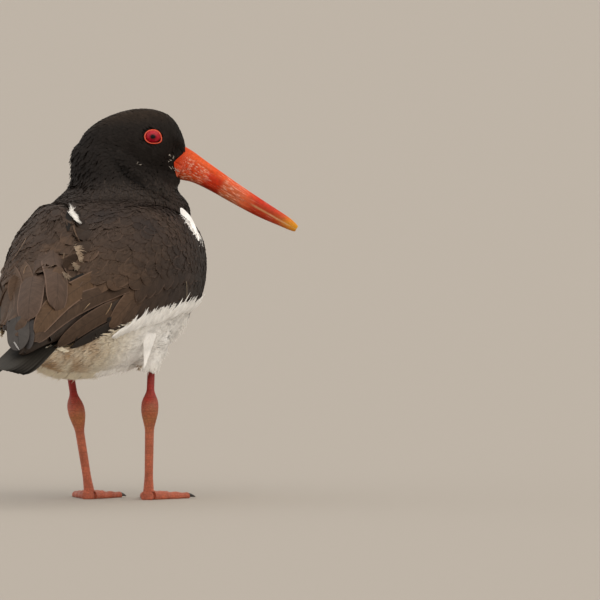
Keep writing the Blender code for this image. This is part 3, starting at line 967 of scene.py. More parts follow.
def small_coat(name, look, keep, spacing, long, wide, seed, lift=0.08,
               shape=(0.5, 0.55, 2.0), ruffle=0.12, shade=0.1, loose=0.06, arch=0.16,
               tone=markings):
    """Strews, lays and joins one coat. long and wide are in spacings."""
    roots, ups = strew(keep, spacing, seed)
    rolls = default_rng(seed + 1)
    count = len(roots)
    gaps = spacing(roots)
    length = gaps * long * rolls.uniform(0.82, 1.18, count)
    half = gaps * wide * rolls.uniform(0.85, 1.15, count)
    ways = lie(roots, ups)
    aside = np.cross(ups, ways)
    ways = unit(ways + aside * rolls.normal(0, ruffle, (count, 1)))
    halfway, _ = outline.nearest(roots + ways * length[:, None] / 2)
    ends, end_ups = outline.nearest(roots + ways * length[:, None])
    s = vane_shares(SMALL_ROWS)[None, :, None]
    centre = (
        roots[:, None] * (2 * (s - 0.5) * (s - 1))
        + halfway[:, None] * (-4 * s * (s - 1))
        + ends[:, None] * (2 * s * (s - 0.5))
    )
    up = unit(ups[:, None] * (1 - s) + end_ups[:, None] * s)
    depth = (gaps * ROOT_DEPTH)[:, None, None]
    raised = (lift(roots) if callable(lift) else lift) * gaps * rolls.uniform(0.2, 1.8, count)
    raised = raised[:, None, None]
    centre = centre + up * (-depth * (1 - s) ** 0.9 + raised * s**2)
    along = np.gradient(centre, axis=1)
    across = unit(np.cross(up, along))
    c = np.linspace(-1, 1, SMALL_COLUMNS + 1)[None, None, :, None]
    profile = vane_profile(s, *shape)[:, :, None]
    reach = half[:, None, None, None] * profile
    rise = arch * reach * (1 - c**2) + rolls.normal(0, loose, (count, 1, 1, 1)) * reach * c
    rise = rise - 0.1 * reach
    top = centre[:, :, None] + across[:, :, None] * reach * c + up[:, :, None] * rise
    colours = tone(roots) * (1 + shade * rolls.normal(0, 1, (count, 1))).clip(0.5, 1.6)
    sizes = np.stack([length, half, rolls.random(count)], -1)
    mesh = join_vanes(name, top, up, colours, sizes, patch_places(roots))
    add_piece(name, mesh, look)
    print(name, count, "feathers,", triangles(SMALL_ROWS, SMALL_COLUMNS) * count, "triangles")


print("a feather's root is", ROOT_DEPTH, "of its spacing deep")

# %% [markdown]
# Plumage is keratin barbs on a shaft. It gives the eye a soft, nearly matt cloth: a paler
# worn fringe, a fine shaft, barbs slanting off it, streaks where barbs have parted, and
# painted shade where a feather dives under the next. All of it is drawn in millimetres on
# the vane's map. Real barbs are 0.3 mm apart, too fine to show, so they are drawn coarser.

# %% Plumage finishes
SHAFT_MM = 0.3  # half the width of a shaft
BARB_SLANT = -1.3  # how far towards the root a barb runs for each mm from the shaft
WISP_MM, WISP_STRETCH = 1.7, 0.25  # a streak's width, and its share of that along a barb
MOTTLE_MM = 5.0
SEED_SPREAD = 90.0  # how far apart feathers lie in the noise, so that no two are alike


def plumage(name, slot, fringe, fringe_mm, fringe_share, shaft, shaft_share, barb_mm=1.2,
            barbs=0.1, streaks=0.25, roughness=0.65, shine=0.15, deep=0.8):
    """A feather look: fringe and shaft colours with how much they show, and the barbs."""
    material, add = new_material(name, Roughness=roughness, Specular_IOR_Level=shine)
    tint, fringed = (add("Attribute", out=i, attribute_name="tint") for i in ("Color", "Alpha"))
    size = add("Attribute", out="Vector", attribute_name="feather")
    length, half, chance = (add("SeparateXYZ", [size], i) for i in range(3))
    vane = add("UVMap", uv_map="vane")
    across, along = (add("SeparateXYZ", [vane], i) for i in range(2))

    # Distances on the vane, in mm.
    side = add("Math", [add("Math", (across, 2.0, -1.0), **TIMES_PLUS)], operation="ABSOLUTE")
    from_shaft = add("Math", (side, half), **TIMES)
    from_rim = add("Math", (half, from_shaft), operation="SUBTRACT")
    from_root = add("Math", (along, length), **TIMES)
    from_tip = add("Math", (length, from_root), operation="SUBTRACT")
    slant = add("Math", (from_shaft, BARB_SLANT, from_root), **TIMES_PLUS)

    # Streaks where barbs have parted, and clouds as wide as a few feathers.
    stretched = add("Math", (from_shaft, WISP_STRETCH), **TIMES)
    seed = add("Math", (chance, SEED_SPREAD), **TIMES)
    wisp = {"Vector": add("CombineXYZ", (slant, stretched, seed)), "Scale": 1 / WISP_MM}
    wisps = add("TexNoise", {**wisp, "Detail": 3.0, "Roughness": 0.65})
    place = add("TexCoord", out="Object")
    mottle = add("TexNoise", {"Vector": place, "Scale": 1 / (MOTTLE_MM * MM), "Detail": 3.0})

    # Barbs, as waves across the slant.
    wander = add("Math", (wisps, barb_mm * 1.5, slant), **TIMES_PLUS)
    phase = add("Math", (wander, tau / barb_mm), **TIMES)
    light = add("Math", [phase], operation="SINE")
    light = add("Math", (light, barbs, 1.0), **TIMES_PLUS)
    parted = add("MapRange", (wisps, 0.3, 0.7, 1 - streaks, 1 + streaks))
    clouded = add("MapRange", (mottle, 0.3, 0.7, 0.86, 1.14))
    # Painted shade: each vane darkens towards its root, to deep at the quill, where it dives under
    # the next feather.
    root_shade = add("MapRange", (along, 0.0, 0.5, deep, 1.0), **SOFTLY)
    for factor in (parted, clouded, root_shade):
        light = add("Math", (light, factor), **TIMES)
    colour = add("Mix", {"Factor": 1.0, "A": tint, "B": light}, **DARKENED)

    # The worn fringe, and the shaft.
    edge = add("Math", (from_rim, from_tip), operation="MINIMUM")
    edge = add("Math", (wisps, fringe_mm, edge), **TIMES_PLUS)
    reach = (edge, fringe_mm * 0.5, fringe_mm * 1.5, fringe_share, 0.0)
    worn = add("Math", (add("MapRange", reach, **SOFTLY), fringed), **TIMES)
    colour = add("Mix", {"Factor": worn, "A": colour, "B": rgba(fringe)}, **LAID_OVER)
    reach = (from_shaft, SHAFT_MM * 0.4, SHAFT_MM, shaft_share, 0.0)
    quill = add("MapRange", reach, **SOFTLY)
    colour = add("Mix", {"Factor": quill, "A": colour, "B": rgba(shaft)}, **LAID_OVER)
    return dressed(material, colour, light, 0.3, 0.15), slot


velvet = plumage("head_plumage", "black_plumage", "40372f", 0.3, 0.25, "14110f", 0.0,
                 barb_mm=0.9, shine=0.1, deep=0.75)
dark_plumage = plumage("dark_body_plumage", "black_plumage", "66564a", 0.7, 0.22, "221c18",
                       0.3, barb_mm=1.0, deep=0.75)
brown_barbs = (dark_plumage[0], "brown_plumage")
white_plumage = plumage("white_down", "white_plumage", "fbfaf7", 0.8, 0.3, "e0d6c2", 0.12,
                        barb_mm=1.1, barbs=0.04, streaks=0.08, roughness=0.75, deep=0.94)
brown_vanes = plumage("wing_plumage", "brown_plumage", "94796a", 1.0, 0.4, "2a211c", 0.5,
                      barbs=0.06, streaks=0.2, deep=0.85)
quill_vanes = plumage("flight_quills", "black_plumage", "5d5149", 0.8, 0.35, "15110f", 0.6,
                      barbs=0.05, streaks=0.15, deep=0.9, shine=0.25)
print("looks:", *(look[0].name for look in (velvet, dark_plumage, white_plumage, brown_vanes)))

# %% [markdown]
# The head's feathers are the smallest, so tight round bill and eye that they read as
# velvet, and loosen to a ruffled edge at the nape. On the neck they grow towards the size of
# the mantle's.

# %% Head and neck
NECK_TOP, NECK_FOOT = 181.0, 152.0
EYE_BARE = 6.5  # no root grows nearer to the eye's middle than this
GAPE = (-1.9, -0.2)  # the corner of the mouth, along and up the bill
# The edge of the face's feathers beside the bill: height on the bill, and how far along.
FACE_EDGE = ((-8.7, 6.3), (GAPE[1], GAPE[0]), (9.0, 1.3))


def from_face(points):
    """How far each place is from the nearer of the eyes and the bill's base."""
    eye = norm(np.abs(to_head(points)) - (0, EYE_FROM_MIDDLE + 5, 0))
    bill = norm(points - from_bill((4.0, 0.0, 1.0)))
    return np.minimum(eye, bill)


def head_spacing(points):
    """Closest round bill and eyes, and widest at the nape."""
    nape = eased(-to_head(points)[..., 0], 22, 42)
    return 0.8 + 0.35 * eased(from_face(points), 9, 26) + 0.45 * nape


def in_gape(points):
    """Whether a place is on the bare corner of the mouth, where the bill begins."""
    bill = to_bill(points)
    return bill[..., 0] > along_table(bill[..., 2], FACE_EDGE)


def on_head(points, normals):
    head = to_head(points)
    head[..., 1] = np.abs(head[..., 1])
    eye = norm((head - (0.9, EYE_FROM_MIDDLE + 5, 0)) * (0.9, 1, 1.15))
    return (points[..., 2] > NECK_TOP) & (eye > EYE_BARE) & ~in_gape(points)


def neck_spacing(points):
    """Wider down the neck."""
    return 1.35 + 1.4 * eased(NECK_TOP - points[..., 2], 0, NECK_TOP - NECK_FOOT)


def below_neck(points):
    """How far each place lies beyond the neck's foot, or negative on the neck."""
    x, _, z = xyz(points)
    return -np.minimum(z - NECK_FOOT, x + 4 + 0.5 * (NECK_TOP - z))


def on_neck(points, normals):
    return (points[..., 2] <= NECK_TOP + 3) & (below_neck(points) < 0)


def head_lift(points):
    """The nape's feathers stand off in a ruffled edge."""
    behind, low = eased(-to_head(points)[..., 0], 28, 40), eased(206 - points[..., 2], 0, 12)
    return 0.08 + 0.55 * behind * low


small_coat("head_feathers", velvet, on_head, head_spacing, 3.4, 0.72, 101,
           ruffle=0.16, lift=head_lift)
small_coat("neck_feathers", dark_plumage, on_neck, neck_spacing, 3.3, 0.8, 102)

# %% [markdown]
# The breast carries short broad feathers up to the edge of the mantle. A dark strip under
# the right wing keeps the white from showing where the wing's lower edge stands off.

# %% Breast and underwing
BREAST_GAP = 2.1
# How far forward the broad feathers of mantle and wing begin, by the angle from the back.
MANTLE_EDGE = ((0, 4), (40, 16), (60, 34), (90, 44), (110, 40), (130, 20))


def mantle_edge(points):
    return along_table(np.abs(degrees_of(points)), MANTLE_EDGE)


def on_breast(points, normals):
    x, _, z = xyz(points)
    ahead = (below_neck(points) > -8) & (z <= NECK_TOP) & (x > mantle_edge(points) - 6)
    return ahead & (paleness(points) < 0.5)


def on_underwing(points, normals):
    x, y, z = xyz(points)
    under = (np.abs(degrees_of(points)) > 88) & (z < 106)
    return under & (y < TRUNK_ASIDE) & (np.abs(x + 88) < 27) & (paleness(points) < 0.5)


def underwing_tone(points):
    return np.broadcast_to(linear(QUILL_BLACK), points.shape)


small_coat("underwing_feathers", dark_plumage, on_underwing,
           evenly(BREAST_GAP), 2.6, 0.8, 110, loose=0.03, lift=0.0, tone=underwing_tone)
small_coat("breast_feathers", dark_plumage, on_breast, evenly(BREAST_GAP),
           4.4, 0.85, 103, loose=0.03)

# %% [markdown]
# White underparts are long loose feathers with pointed, hairy tips. They lie smooth on the
# flank and belly, and ruffled at the vent.

# %% Underparts and thighs
SIDES = {"left": 1, "right": -1}
POINTED = (0.5, 0.25, 1.3)
UNDER_WING = 3.2  # how far below the wing's dark edge white feathers begin, in mm
THIGH_TOP = 86.0


def white_body(points, normals):
    x, _, z = xyz(points)
    under_wing = along_table(x, WHITE_BELOW) - UNDER_WING * eased(-x, 46, 60)
    clear = (z < under_wing) | (x > -46)
    white = paleness(points) >= 0.5 + 0.25 * eased(-x, 45, 65)
    return white & clear & (z <= NECK_TOP) & (z > 79)


def white_lift(points):
    return 0.1 + 0.6 * eased(-points[..., 0], 45, 95)


def on_thigh(points, normals):
    return points[..., 2] <= THIGH_TOP


downy = {"shape": POINTED, "ruffle": 0.13, "loose": 0.03, "tone": under_tone}
for name, side in SIDES.items():

    def on_this_side(points, normals):
        return white_body(points, normals) & ((points[..., 1] - TRUNK_ASIDE) * side > 0)

    small_coat("underparts_" + name, white_plumage, on_this_side, evenly(1.08), 9.5, 0.58,
               104 + side, shade=0.035, arch=0.08, lift=white_lift, **downy)
small_coat("thigh_feathers", white_plumage, on_thigh, evenly(1.1), 7.0, 0.66,
           108, shade=0.02, arch=0.1, **downy)

# %% [markdown]
# ## Wings
# A folded wing's big feathers are stiff: they follow the body's broad shape but bridge its
# small dips. Each is a flat plan from quill to tip, dropped on the outline by casting
# rays, and smoothed by fitting a cubic along the heights found and a parabola across them.
# Then its tip and lower edge are raised, which is how the feathers of a closed wing
# overlap.

# %% Laying big feathers
DROP_FROM = 26.0  # mm over the flat plan, where rays start
FREE_DROP = 9.0  # a vane bridges any drop that is deeper than this, in mm
WIDE_GRID = (14, 6)  # rows and columns of a big vane


def vane_grid(grid):
    """Shares from quill to tip, and places from edge to edge, ready to spread over vanes."""
    rows, columns = grid
    return vane_shares(rows)[None, :, None], np.linspace(-1, 1, columns + 1)[None, None, :]


def flat_plan(roots, run, aside, along, offset):
    """Grids of places from roots along their run, each moved aside by its offset."""
    roots, run, aside = (v[:, None, None] for v in (roots, run, aside))
    return roots + run * along[..., None] + aside * offset[..., None]


def for_each(values, count):
    """A value, or one for each vane, ready to spread over their grids."""
    return np.broadcast_to(np.asarray(values, float), (count,))[:, None, None]


def drape(roots, tips, half, grid=WIDE_GRID, shape=(0.55, 0.6, 2.2), bow=0.0, sink=1.6,
          lift=0.5, tilt=0.0, camber=0.07, layer=0.0):
    """(top grids, ups, lengths) of vanes from roots to tips, laid on the outline."""
    (roots, root_ups), (tips, tip_ups) = roots, tips
    run = tips - roots
    length = norm(run)
    aside = unit(np.cross(unit(root_ups + tip_ups), run))
    ups = unit(np.cross(run, aside))
    S, C = vane_grid(grid)
    values = (half, bow, sink, lift, tilt, layer)
    half, bow, sink, lift, tilt, layer = (for_each(v, len(run)) for v in values)
    width = half * vane_profile(S, *shape)
    offset = bow * 4 * S * (1 - S) * length[:, None, None] + width * C
    flat = flat_plan(roots, run, aside, S, offset)
    towards = np.broadcast_to(ups[:, None, None], flat.shape)
    places, _, hit = outline.cast(flat + towards * DROP_FROM, -towards)
    height = ((places - flat) * towards).sum(-1)
    height = np.where(hit & (np.abs(height) < FREE_DROP), height, 0)
    s, c = (np.broadcast_to(v, height[:1].shape).reshape(-1) for v in (S, C))
    terms = np.stack([s**0, s, s**2, s**3, c, c * s, c**2], -1)
    fitted = height.reshape(len(height), -1) @ (terms @ np.linalg.pinv(terms)).T
    height = fitted.reshape(height.shape) - sink * (1 - S) ** 1.2 + lift * S**2
    height = height + camber * width * (1 - C**2) + tilt * width * C + layer
    top = flat + towards * height[..., None]
    return top, np.broadcast_to(ups[:, None], top[:, :, 0].shape), length


FILLED = 0.94  # of each patch's side, so that patches stay apart


def packed(count, across):
    """(middles, cell) of equal patches that fill the bake's map, with so many across."""
    down = math.ceil(count / across)
    cell = np.array((1 / across, 1 / down))
    index = np.arange(count)
    return np.stack([index % across + 0.5, index // across + 0.5], -1) * cell, cell * FILLED


def big_feathers(name, look, vanes, across=12, replaced=()):
    """Joins (top, ups, length, half, colours) groups of one grid size into one piece."""
    top, ups, length, half, colours = (np.concatenate(v) for v in zip(*vanes))
    sizes = np.stack([length, half, default_rng(len(top)).random(len(top))], -1)
    places, cell = packed(len(top), across)
    mesh = join_vanes(name, top, ups, colours, sizes, places, cell)
    print(name, len(top), "vanes,", len(mesh.polygons), "faces")
    add_piece(name, mesh, look, replaced)


print("a big vane has", triangles(*WIDE_GRID), "triangles")

# %% [markdown]
# Mantle and scapulars are broad feathers that shingle without rows. Their roots are strewn
# like the small ones, farther apart towards the rear, and each feather is draped.

# %% Mantle and scapulars
MANTLE_SHAPE = (0.6, 0.45, 2.0)
MANTLE_GRID = (8, 4)
# Where the mantle's feathers end, by x: the angle from the back.
MANTLE_SPREAD = ((-96, 44), (-50, 78), (0, 92), (40, 112))


def mantle_spacing(points):
    return 3.1 + 2.6 * eased(-points[..., 0], -20, 50)


def on_mantle(points, normals):
    x, turn = points[..., 0], np.abs(degrees_of(points))
    on_back = (x > -96) & (x < mantle_edge(points)) & (turn < along_table(x, MANTLE_SPREAD))
    return on_back & (below_neck(points) > -9) & (paleness(points) < 0.5)


def mantle_coat():
    """Strews and drapes the broad feathers of mantle and scapulars."""
    roots, ups = strew(on_mantle, mantle_spacing, 201)
    rolls = default_rng(202)
    count, gaps = len(roots), mantle_spacing(roots)
    ways = lie(roots, ups)
    ways = unit(ways + np.cross(ups, ways) * rolls.normal(0, 0.1, (count, 1)))
    length = gaps * 3.9 * rolls.uniform(0.85, 1.15, count)
    half = gaps * 0.98 * rolls.uniform(0.9, 1.1, count)
    tips = outline.nearest(roots + ways * length[:, None])
    top, ups, length = drape(
        (roots, ups), tips, half, MANTLE_GRID, MANTLE_SHAPE, sink=gaps * 0.22,
        lift=rolls.uniform(0.0, 0.08, count), tilt=rolls.normal(0, 0.01, count), camber=0.03,
    )
    shades = (1 + 0.07 * rolls.normal(0, 1, (count, 1))).clip(0.6, 1.5)
    fringes = rolls.uniform(0.0, 0.7, count) ** 1.5
    colours = np.column_stack([dark_tone((roots + tips[0]) / 2) * shades, fringes])
    vanes = [(top, ups, length, half, colours)]
    big_feathers("mantle_feathers", brown_vanes, vanes, 40)


mantle_coat()


def under_veil(points, normals):
    """Where loose barbs veil the feathers: mantle, the wing's fore part and a collar."""
    x, below = points[..., 0], below_neck(points)
    mantle = on_mantle(points, normals) & (x > -92)
    fore = (x > -30) & (np.abs(degrees_of(points)) < 96) & (x < mantle_edge(points))
    fore = fore & (paleness(points) < 0.3) & (below > -9)
    collar = (below > -26) & (below < -8) & (points[..., 2] < NECK_TOP)
    return mantle | fore | collar


small_coat("mantle_barbs", brown_barbs, under_veil, evenly(1.85), 5.4, 0.3,
           205, shape=POINTED, lift=0.1, ruffle=0.14, shade=0.07, loose=0.04, arch=0.06)

# %% [markdown]
# From below upwards a wing has primaries, secondaries, their coverts and tertials. A row
# is given by the places of its first and last quill and tip: how far forward, and at what
# angle from the middle of the back.

# %% The rows of a wing
# Each row: how many, first and last quill, first and last tip, first and last half width,
# its layer in mm, and how much its lower edges stand out.
WING_ROWS = {
    "primaries": (6, (-66, 96), (-92, 84), (-112, 112), (-171, 96), (4, 4.8), -1.2, 0.05),
    "secondaries": (9, (14, 98), (-70, 92), (-24, 106), (-118, 109), (5.5, 6.5), -0.6, 0.08),
    "greater_coverts": (10, (34, 92), (-52, 82), (2, 104), (-90, 101), (5, 6.5), -0.2, 0.10),
    "median_coverts": (10, (38, 82), (-40, 71), (12, 95), (-70, 89), (4.5, 6), -0.2, 0.10),
    "tertials": (5, (-40, 92), (-60, 62), (-114, 100), (-160, 22), (7, 9), 0.6, 0.04),
}
ROW_SINK, ROW_LIFT = 1.8, 0.2
BOW, TERTIAL_BOW = 0.05, 0.09  # how far a vane curves aside, as a share of its length
TIP_WANDERS = (1.5, 0.8)  # mm along and degrees round, so that no row is ruled
QUILLS = ("primaries", "secondaries")


def wing_row(row, side, rolls):
    """One row's vanes on the left (1) or right (-1) wing."""
    count, root0, root1, tip0, tip1, halves, layer, tilt = WING_ROWS[row]
    along_row = np.arange(count) / (count - 1)
    wander = rolls.normal(0, 1, (4, count))
    x, turn, tip_x, tip_turn, half = (
        first + (last - first) * along_row
        for first, last in (*zip(root0, root1), *zip(tip0, tip1), halves)
    )
    tip_x, tip_turn = tip_x + wander[0] * TIP_WANDERS[0], tip_turn + wander[1] * TIP_WANDERS[1]
    half = half * (1 + 0.05 * wander[2])
    roots, tips = at(x, side * turn), at(tip_x, side * tip_turn)
    bow = side * (TERTIAL_BOW if row == "tertials" else BOW)
    top, ups, length = drape(
        roots, tips, half, bow=bow, sink=ROW_SINK, lift=ROW_LIFT, tilt=-side * tilt, layer=layer
    )
    colours = dark_tone(mix(roots[0], tips[0], np.full(count, 0.6)))
    if row in QUILLS:
        colours = mix(colours, linear(QUILL_BLACK), np.full(count, 0.6))
    colours = colours * (1 + 0.06 * wander[3][:, None]).clip(0.6, 1.4)
    colours = np.column_stack([colours, rolls.uniform(0.2, 0.8, count)])
    return top, ups, length, half, colours


def wing(name, side):
    """The quills and coverts of one wing. The right one's tertials are listed below."""
    rolls = default_rng(40 + side)
    rows = {row: wing_row(row, side, rolls) for row in WING_ROWS if side > 0 or row != "tertials"}
    big_feathers("flight_feathers_" + name, quill_vanes,
                 [rows[row] for row in QUILLS], replaced=("wing_point_" + name,))
    big_feathers("wing_feathers_" + name, brown_vanes,
                 [rows[row] for row in rows if row not in QUILLS])


for name, side in SIDES.items():
    wing(name, side)

# %% [markdown]
# The photograph's bird has untidy places of its own: rounded left scapulars, and worn
# feathers that lap behind them. Each is put by the pixels where it starts and ends.

# %% The left scapulars and the worn feathers behind them
LOBE = "4e3e34"
# Each vane: pixel of the quill, pixel of the tip, half width, layer, bow, colour, fringe.
LEFT_VANES = (
    ((12, 276), (7, 328), 6, 0.3, 0, MANTLE_DARK, 0.4),
    ((44, 270), (38, 328), 6.5, 0.5, 0, WING_BROWN, 0.6),
    ((26, 276), (18, 333), 7.5, 1.2, 0, WING_BROWN, 0.5),
    ((37, 250), (30, 324), 8, 2.2, 0, LOBE, 0.8),
    ((53, 246), (53, 316), 7.2, 2.5, 0, LOBE, 0.8),
)


def seen_vanes(table, rolls, **how):
    """Vanes on the outline from a table of pixels."""
    roots, tips = seen([row[0] for row in table]), seen([row[1] for row in table])
    half, layer, bow, fringe = (np.array([row[i] for row in table]) for i in (2, 3, 4, 6))
    top, ups, length = drape(roots, tips, half, bow=bow, layer=layer, lift=0.2, **how)
    shades = 1 + 0.06 * rolls.normal(0, 1, (len(table), 1))
    colours = np.array([linear(row[5]) for row in table]) * shades
    return top, ups, length, half, np.column_stack([colours, fringe])


loose_rolls = default_rng(71)
vanes = seen_vanes(LEFT_VANES, loose_rolls, shape=(0.6, 0.7, 2.6), sink=3.4)
big_feathers("left_scapulars", brown_vanes, [vanes], 4)

# %% [markdown]
# The right wing's tertials sweep down over its black quills, and are the broadest feathers
# in the photograph. They are put by its pixels too.

# %% The right wing's tertials
RIGHT_VANES = (
    ((132, 317), (68, 346), 3.8, 1.5, 0, QUILL_BLACK, 0.2),
    ((140, 300), (50, 347), 5.2, 1.5, -0.04, WING_BROWN, 0.5),
    ((128, 286), (33, 343), 5.8, 1.7, -0.06, WING_BROWN, 0.8),
    ((112, 268), (34, 337), 6.2, 2, -0.06, "54402f", 0.9),
)
vanes = seen_vanes(RIGHT_VANES, loose_rolls, shape=(0.6, 0.6, 2.2), sink=3)
big_feathers("right_tertials", brown_vanes, [vanes], 4)

# %% [markdown]
# ## Tail
# Twelve quills fan out of the tail's root, the middle pair on top. The outer ones lie lower.
# They are black with a greenish cast and a thin brown rim, and white at the base.

# %% The tail's quills and the coverts over their roots
TAIL_ROOT, TAIL_TIP = np.array((-106.0, 3.0, 101.5)), np.array((-191.0, 6.5, 80.0))
TAIL_ROOT_HALF, TAIL_TIP_HALF = 8.0, 9.5  # to the middle of the outermost quill
TAIL_ROUND, TAIL_DROOP = 9.0, 1.6
TAIL_LAYERS = 1.6  # mm from the lowest quill to the highest
QUILL_HALF = 5.2
# Where each quill lies between the middle (0) and the outermost, from below upwards.
TAIL_SPREAD = np.outer((1.0, 0.8, 0.62, 0.45, 0.28, 0.1), (-1, 1)).ravel()
COVERTS = 26
SMALL_GRID = (8, 4)


def flat_vanes(roots, tips, half, grid=WIDE_GRID, shape=(0.7, 0.75, 2.4), layer=0.0,
               camber=0.06, up=(0.2, 0, 1.0)):
    """(top grids, ups, lengths) of vanes that hang free of the body."""
    run = tips - roots
    aside = unit(np.cross(np.broadcast_to(unit(up), run.shape), run))
    ups = unit(np.cross(run, aside))
    S, C = vane_grid(grid)
    width = for_each(half, len(run)) * vane_profile(S, *shape)
    rise = camber * width * (1 - C**2) + for_each(layer, len(run))
    top = flat_plan(roots, run, aside, S, width * C) + ups[:, None, None] * rise[..., None]
    return top, np.broadcast_to(ups[:, None], top[:, :, 0].shape), norm(run)


def tail():
    """The quills, and loose white coverts above and below their roots."""
    rolls = default_rng(81)
    spread = TAIL_SPREAD
    sideways = np.array((0.0, 1.0, 0.0))
    roots = TAIL_ROOT + sideways * (spread * TAIL_ROOT_HALF)[:, None]
    tips = TAIL_TIP + sideways * (spread * TAIL_TIP_HALF)[:, None]
    tips[:, 0] += TAIL_ROUND * spread**2 + rolls.normal(0, 0.5, len(spread))
    drop = -TAIL_DROOP * np.abs(spread) ** 1.5
    roots[:, 2] += drop * 0.5
    tips[:, 2] += drop
    layers = np.arange(len(spread)) / len(spread) * TAIL_LAYERS - TAIL_LAYERS / 2
    top, ups, length = flat_vanes(roots, tips, QUILL_HALF, layer=layers)
    colours = np.tile([*linear(TAIL_BLACK), 0.5], (len(spread), 1))
    vanes = [(top, ups, length, np.full(len(spread), QUILL_HALF), colours)]
    big_feathers("tail_feathers", quill_vanes, vanes, 6, replaced=("tail",))

    side = rolls.uniform(-1, 1, COVERTS)
    below = np.arange(COVERTS) % 2 * 2.0 - 1
    x = rolls.uniform(-118, -102, COVERTS)
    roots = np.stack([x, 3.0 + 9 * side, np.full(COVERTS, 99.0)], -1)
    back, down = rolls.uniform(-30, -22, COVERTS), rolls.uniform(-9, -6, COVERTS)
    tips = roots + np.stack([back, 1.5 * side, down], -1)
    roots[:, 2] -= 3.5 * below
    tips[:, 2] -= 1.8 * below
    half = rolls.uniform(3.0, 4.5, COVERTS)
    top, ups, length = flat_vanes(roots, tips, half, SMALL_GRID, (0.6, 0.4, 1.6))
    colours = mix(linear(WHITE), linear(CREAM), rolls.uniform(0, 0.8, COVERTS))
    vanes = [(top, ups, length, half, np.column_stack([colours, np.ones(COVERTS)]))]
    big_feathers("tail_coverts", white_plumage, vanes, 7)


tail()

# %% [markdown]
# ## Loose white feathers
# White feathers of the flank spring up over the wing's dark edge in a ragged row of points.
# A white tuft and buff down stick out along the edge of the left scapulars, and short wisps
# fringe the belly.

# %% Tufts and spikes
# Each tuft: pixels of one end and the other, how many, reach in pixels with its spread,
# half width, layer, how far it stands off the body, and colour.
TUFTS = (
    ((110, 337), (134, 328), 110, (13, -9), 4, 0.42, 1, 0.3, WHITE),
    ((132, 328), (162, 321), 130, (10, -12), 4, 0.42, 0.8, 0.3, WHITE),
    ((160, 320), (192, 309), 140, (8, -12), 4, 0.42, 0.6, 0.3, WHITE),
    ((122, 331), (190, 308), 22, (7, -14), 4, 0.95, 1.4, 0.3, WHITE),
    ((69, 212), (75, 221), 170, (3, 5), 3, 0.2, 1.2, 0.4, WHITE),
    ((69, 211), (73, 213), 14, (2, -8), 3, 0.12, 1.2, 0.3, WHITE),
    ((75, 247), (79, 261), 150, (3, 2), 4.5, 0.18, 0.8, 0.5, "a38d76"),
    ((72, 264), (77, 270), 110, (2, 2), 4, 0.18, 0.8, 0.5, "8f7a64"),
    ((62, 274), (68, 278), 80, (1, 2), 4, 0.18, 0.8, 0.5, "8a7662"),
    ((56, 346), (66, 350), 26, (-8, -1), 2, 0.8, 1.2, 0.3, "e4dac4"),
    ((138, 365), (144, 368), 14, (-3, 4), 3, 0.22, 0.5, 0.5, "b0a18b"),
    ((40, 366), (62, 374), 110, (-6, 4), 3, 0.24, 0, 1, CREAM),
    ((60, 373), (100, 374), 200, (-6, 4), 3, 0.22, 0, 1, CREAM),
    ((98, 373), (136, 365), 170, (-5, 4), 3, 0.22, 0, 1, WHITE),
    ((143, 364), (158, 364), 110, (-1, 7), 2.5, 0.26, 0, 0.9, WHITE),
    ((158, 366), (192, 314), 120, (1, 3), 1.6, 0.2, 0, 0.7, WHITE),
    ((168, 154), (171, 157), 7, (0, 1), 0.7, 0.22, 0.9, 0.3, "a79f94"),
    ((167, 160), (170, 161), 4, (1, 0), 0.7, 0.22, 0.9, 0.3, "a79f94"),
    ((168, 166), (177, 170), 12, (1, 1), 0.8, 0.22, 0.9, 0.3, "8f877d"),
    ((136, 163), (138, 165), 5, (1, 0), 0.7, 0.22, 0.9, 0.3, "8a8279"),
)


TUFT_GRID = (4, 2)
TIP_RISE = 0.6  # mm from a root's layer to its tip's


def tufts():
    """Every row of the table, strewn between its pixels."""
    rolls = default_rng(91)
    vanes = []
    for start, end, count, reach, spread, half, layer, standing, colour in TUFTS:
        share = rolls.random((count, 1))
        roots = np.array(start) * (1 - share) + np.array(end) * share
        roots = roots + rolls.normal(0, 0.8, (count, 2))
        tips = roots + np.array(reach) * rolls.uniform(0.6, 1.3, (count, 1))
        tips = tips + rolls.normal(0, spread * 0.5, (count, 2))
        places, ups = seen(roots)
        swing = RIGHT * (tips - roots)[:, :1] * PIXEL - UP * (tips - roots)[:, 1:] * PIXEL
        swing = swing - ups * (swing * ups).sum(-1, keepdims=True) * (1 - standing)
        halves = half * rolls.uniform(0.7, 1.3, count)
        top, up, length = flat_vanes(
            places + ups * layer, places + ups * (layer + TIP_RISE) + swing, halves,
            TUFT_GRID, (0.5, 0.3, 1.2), up=-LOOK,
        )
        colours = np.tile(linear(colour), (count, 1)) * rolls.uniform(0.88, 1.06, (count, 1))
        fringe = np.full(count, 1.0 if colour in (WHITE, CREAM) else 0.1)
        vanes.append((top, up, length, halves, np.column_stack([colours, fringe])))
    big_feathers("loose_tufts", white_plumage, vanes, 20)


tufts()

# %% [markdown]
# A few pale shafts catch the light on the brown wing and mantle. Each is a vane no wider
# than a shaft.

# %% Pale shafts
# Columns as for the left scapulars.
STREAKS = (
    ((96, 295), (81, 313), 0.28, 1, 0, "c3a684", 0),
    ((111, 303), (102, 318), 0.24, 1, 0, "bd9f7c", 0),
    ((185, 281), (181, 313), 0.26, 1, 0, "c9b89e", 0),
    ((27, 239), (13, 262), 0.35, 0.9, 0.06, "8a7360", 0),
    ((64, 256), (48, 272), 0.4, 0.9, 0.04, "86705c", 0),
    ((28, 266), (24, 286), 0.35, 0.9, -0.05, "94795f", 0),
    ((73, 227), (80, 244), 0.5, 1, -0.05, "6b5645", 0),
)
vanes = seen_vanes(STREAKS, loose_rolls, sink=0, shape=(0.9, 0.3, 1.2))
big_feathers("pale_shafts", brown_vanes, [vanes], 2)
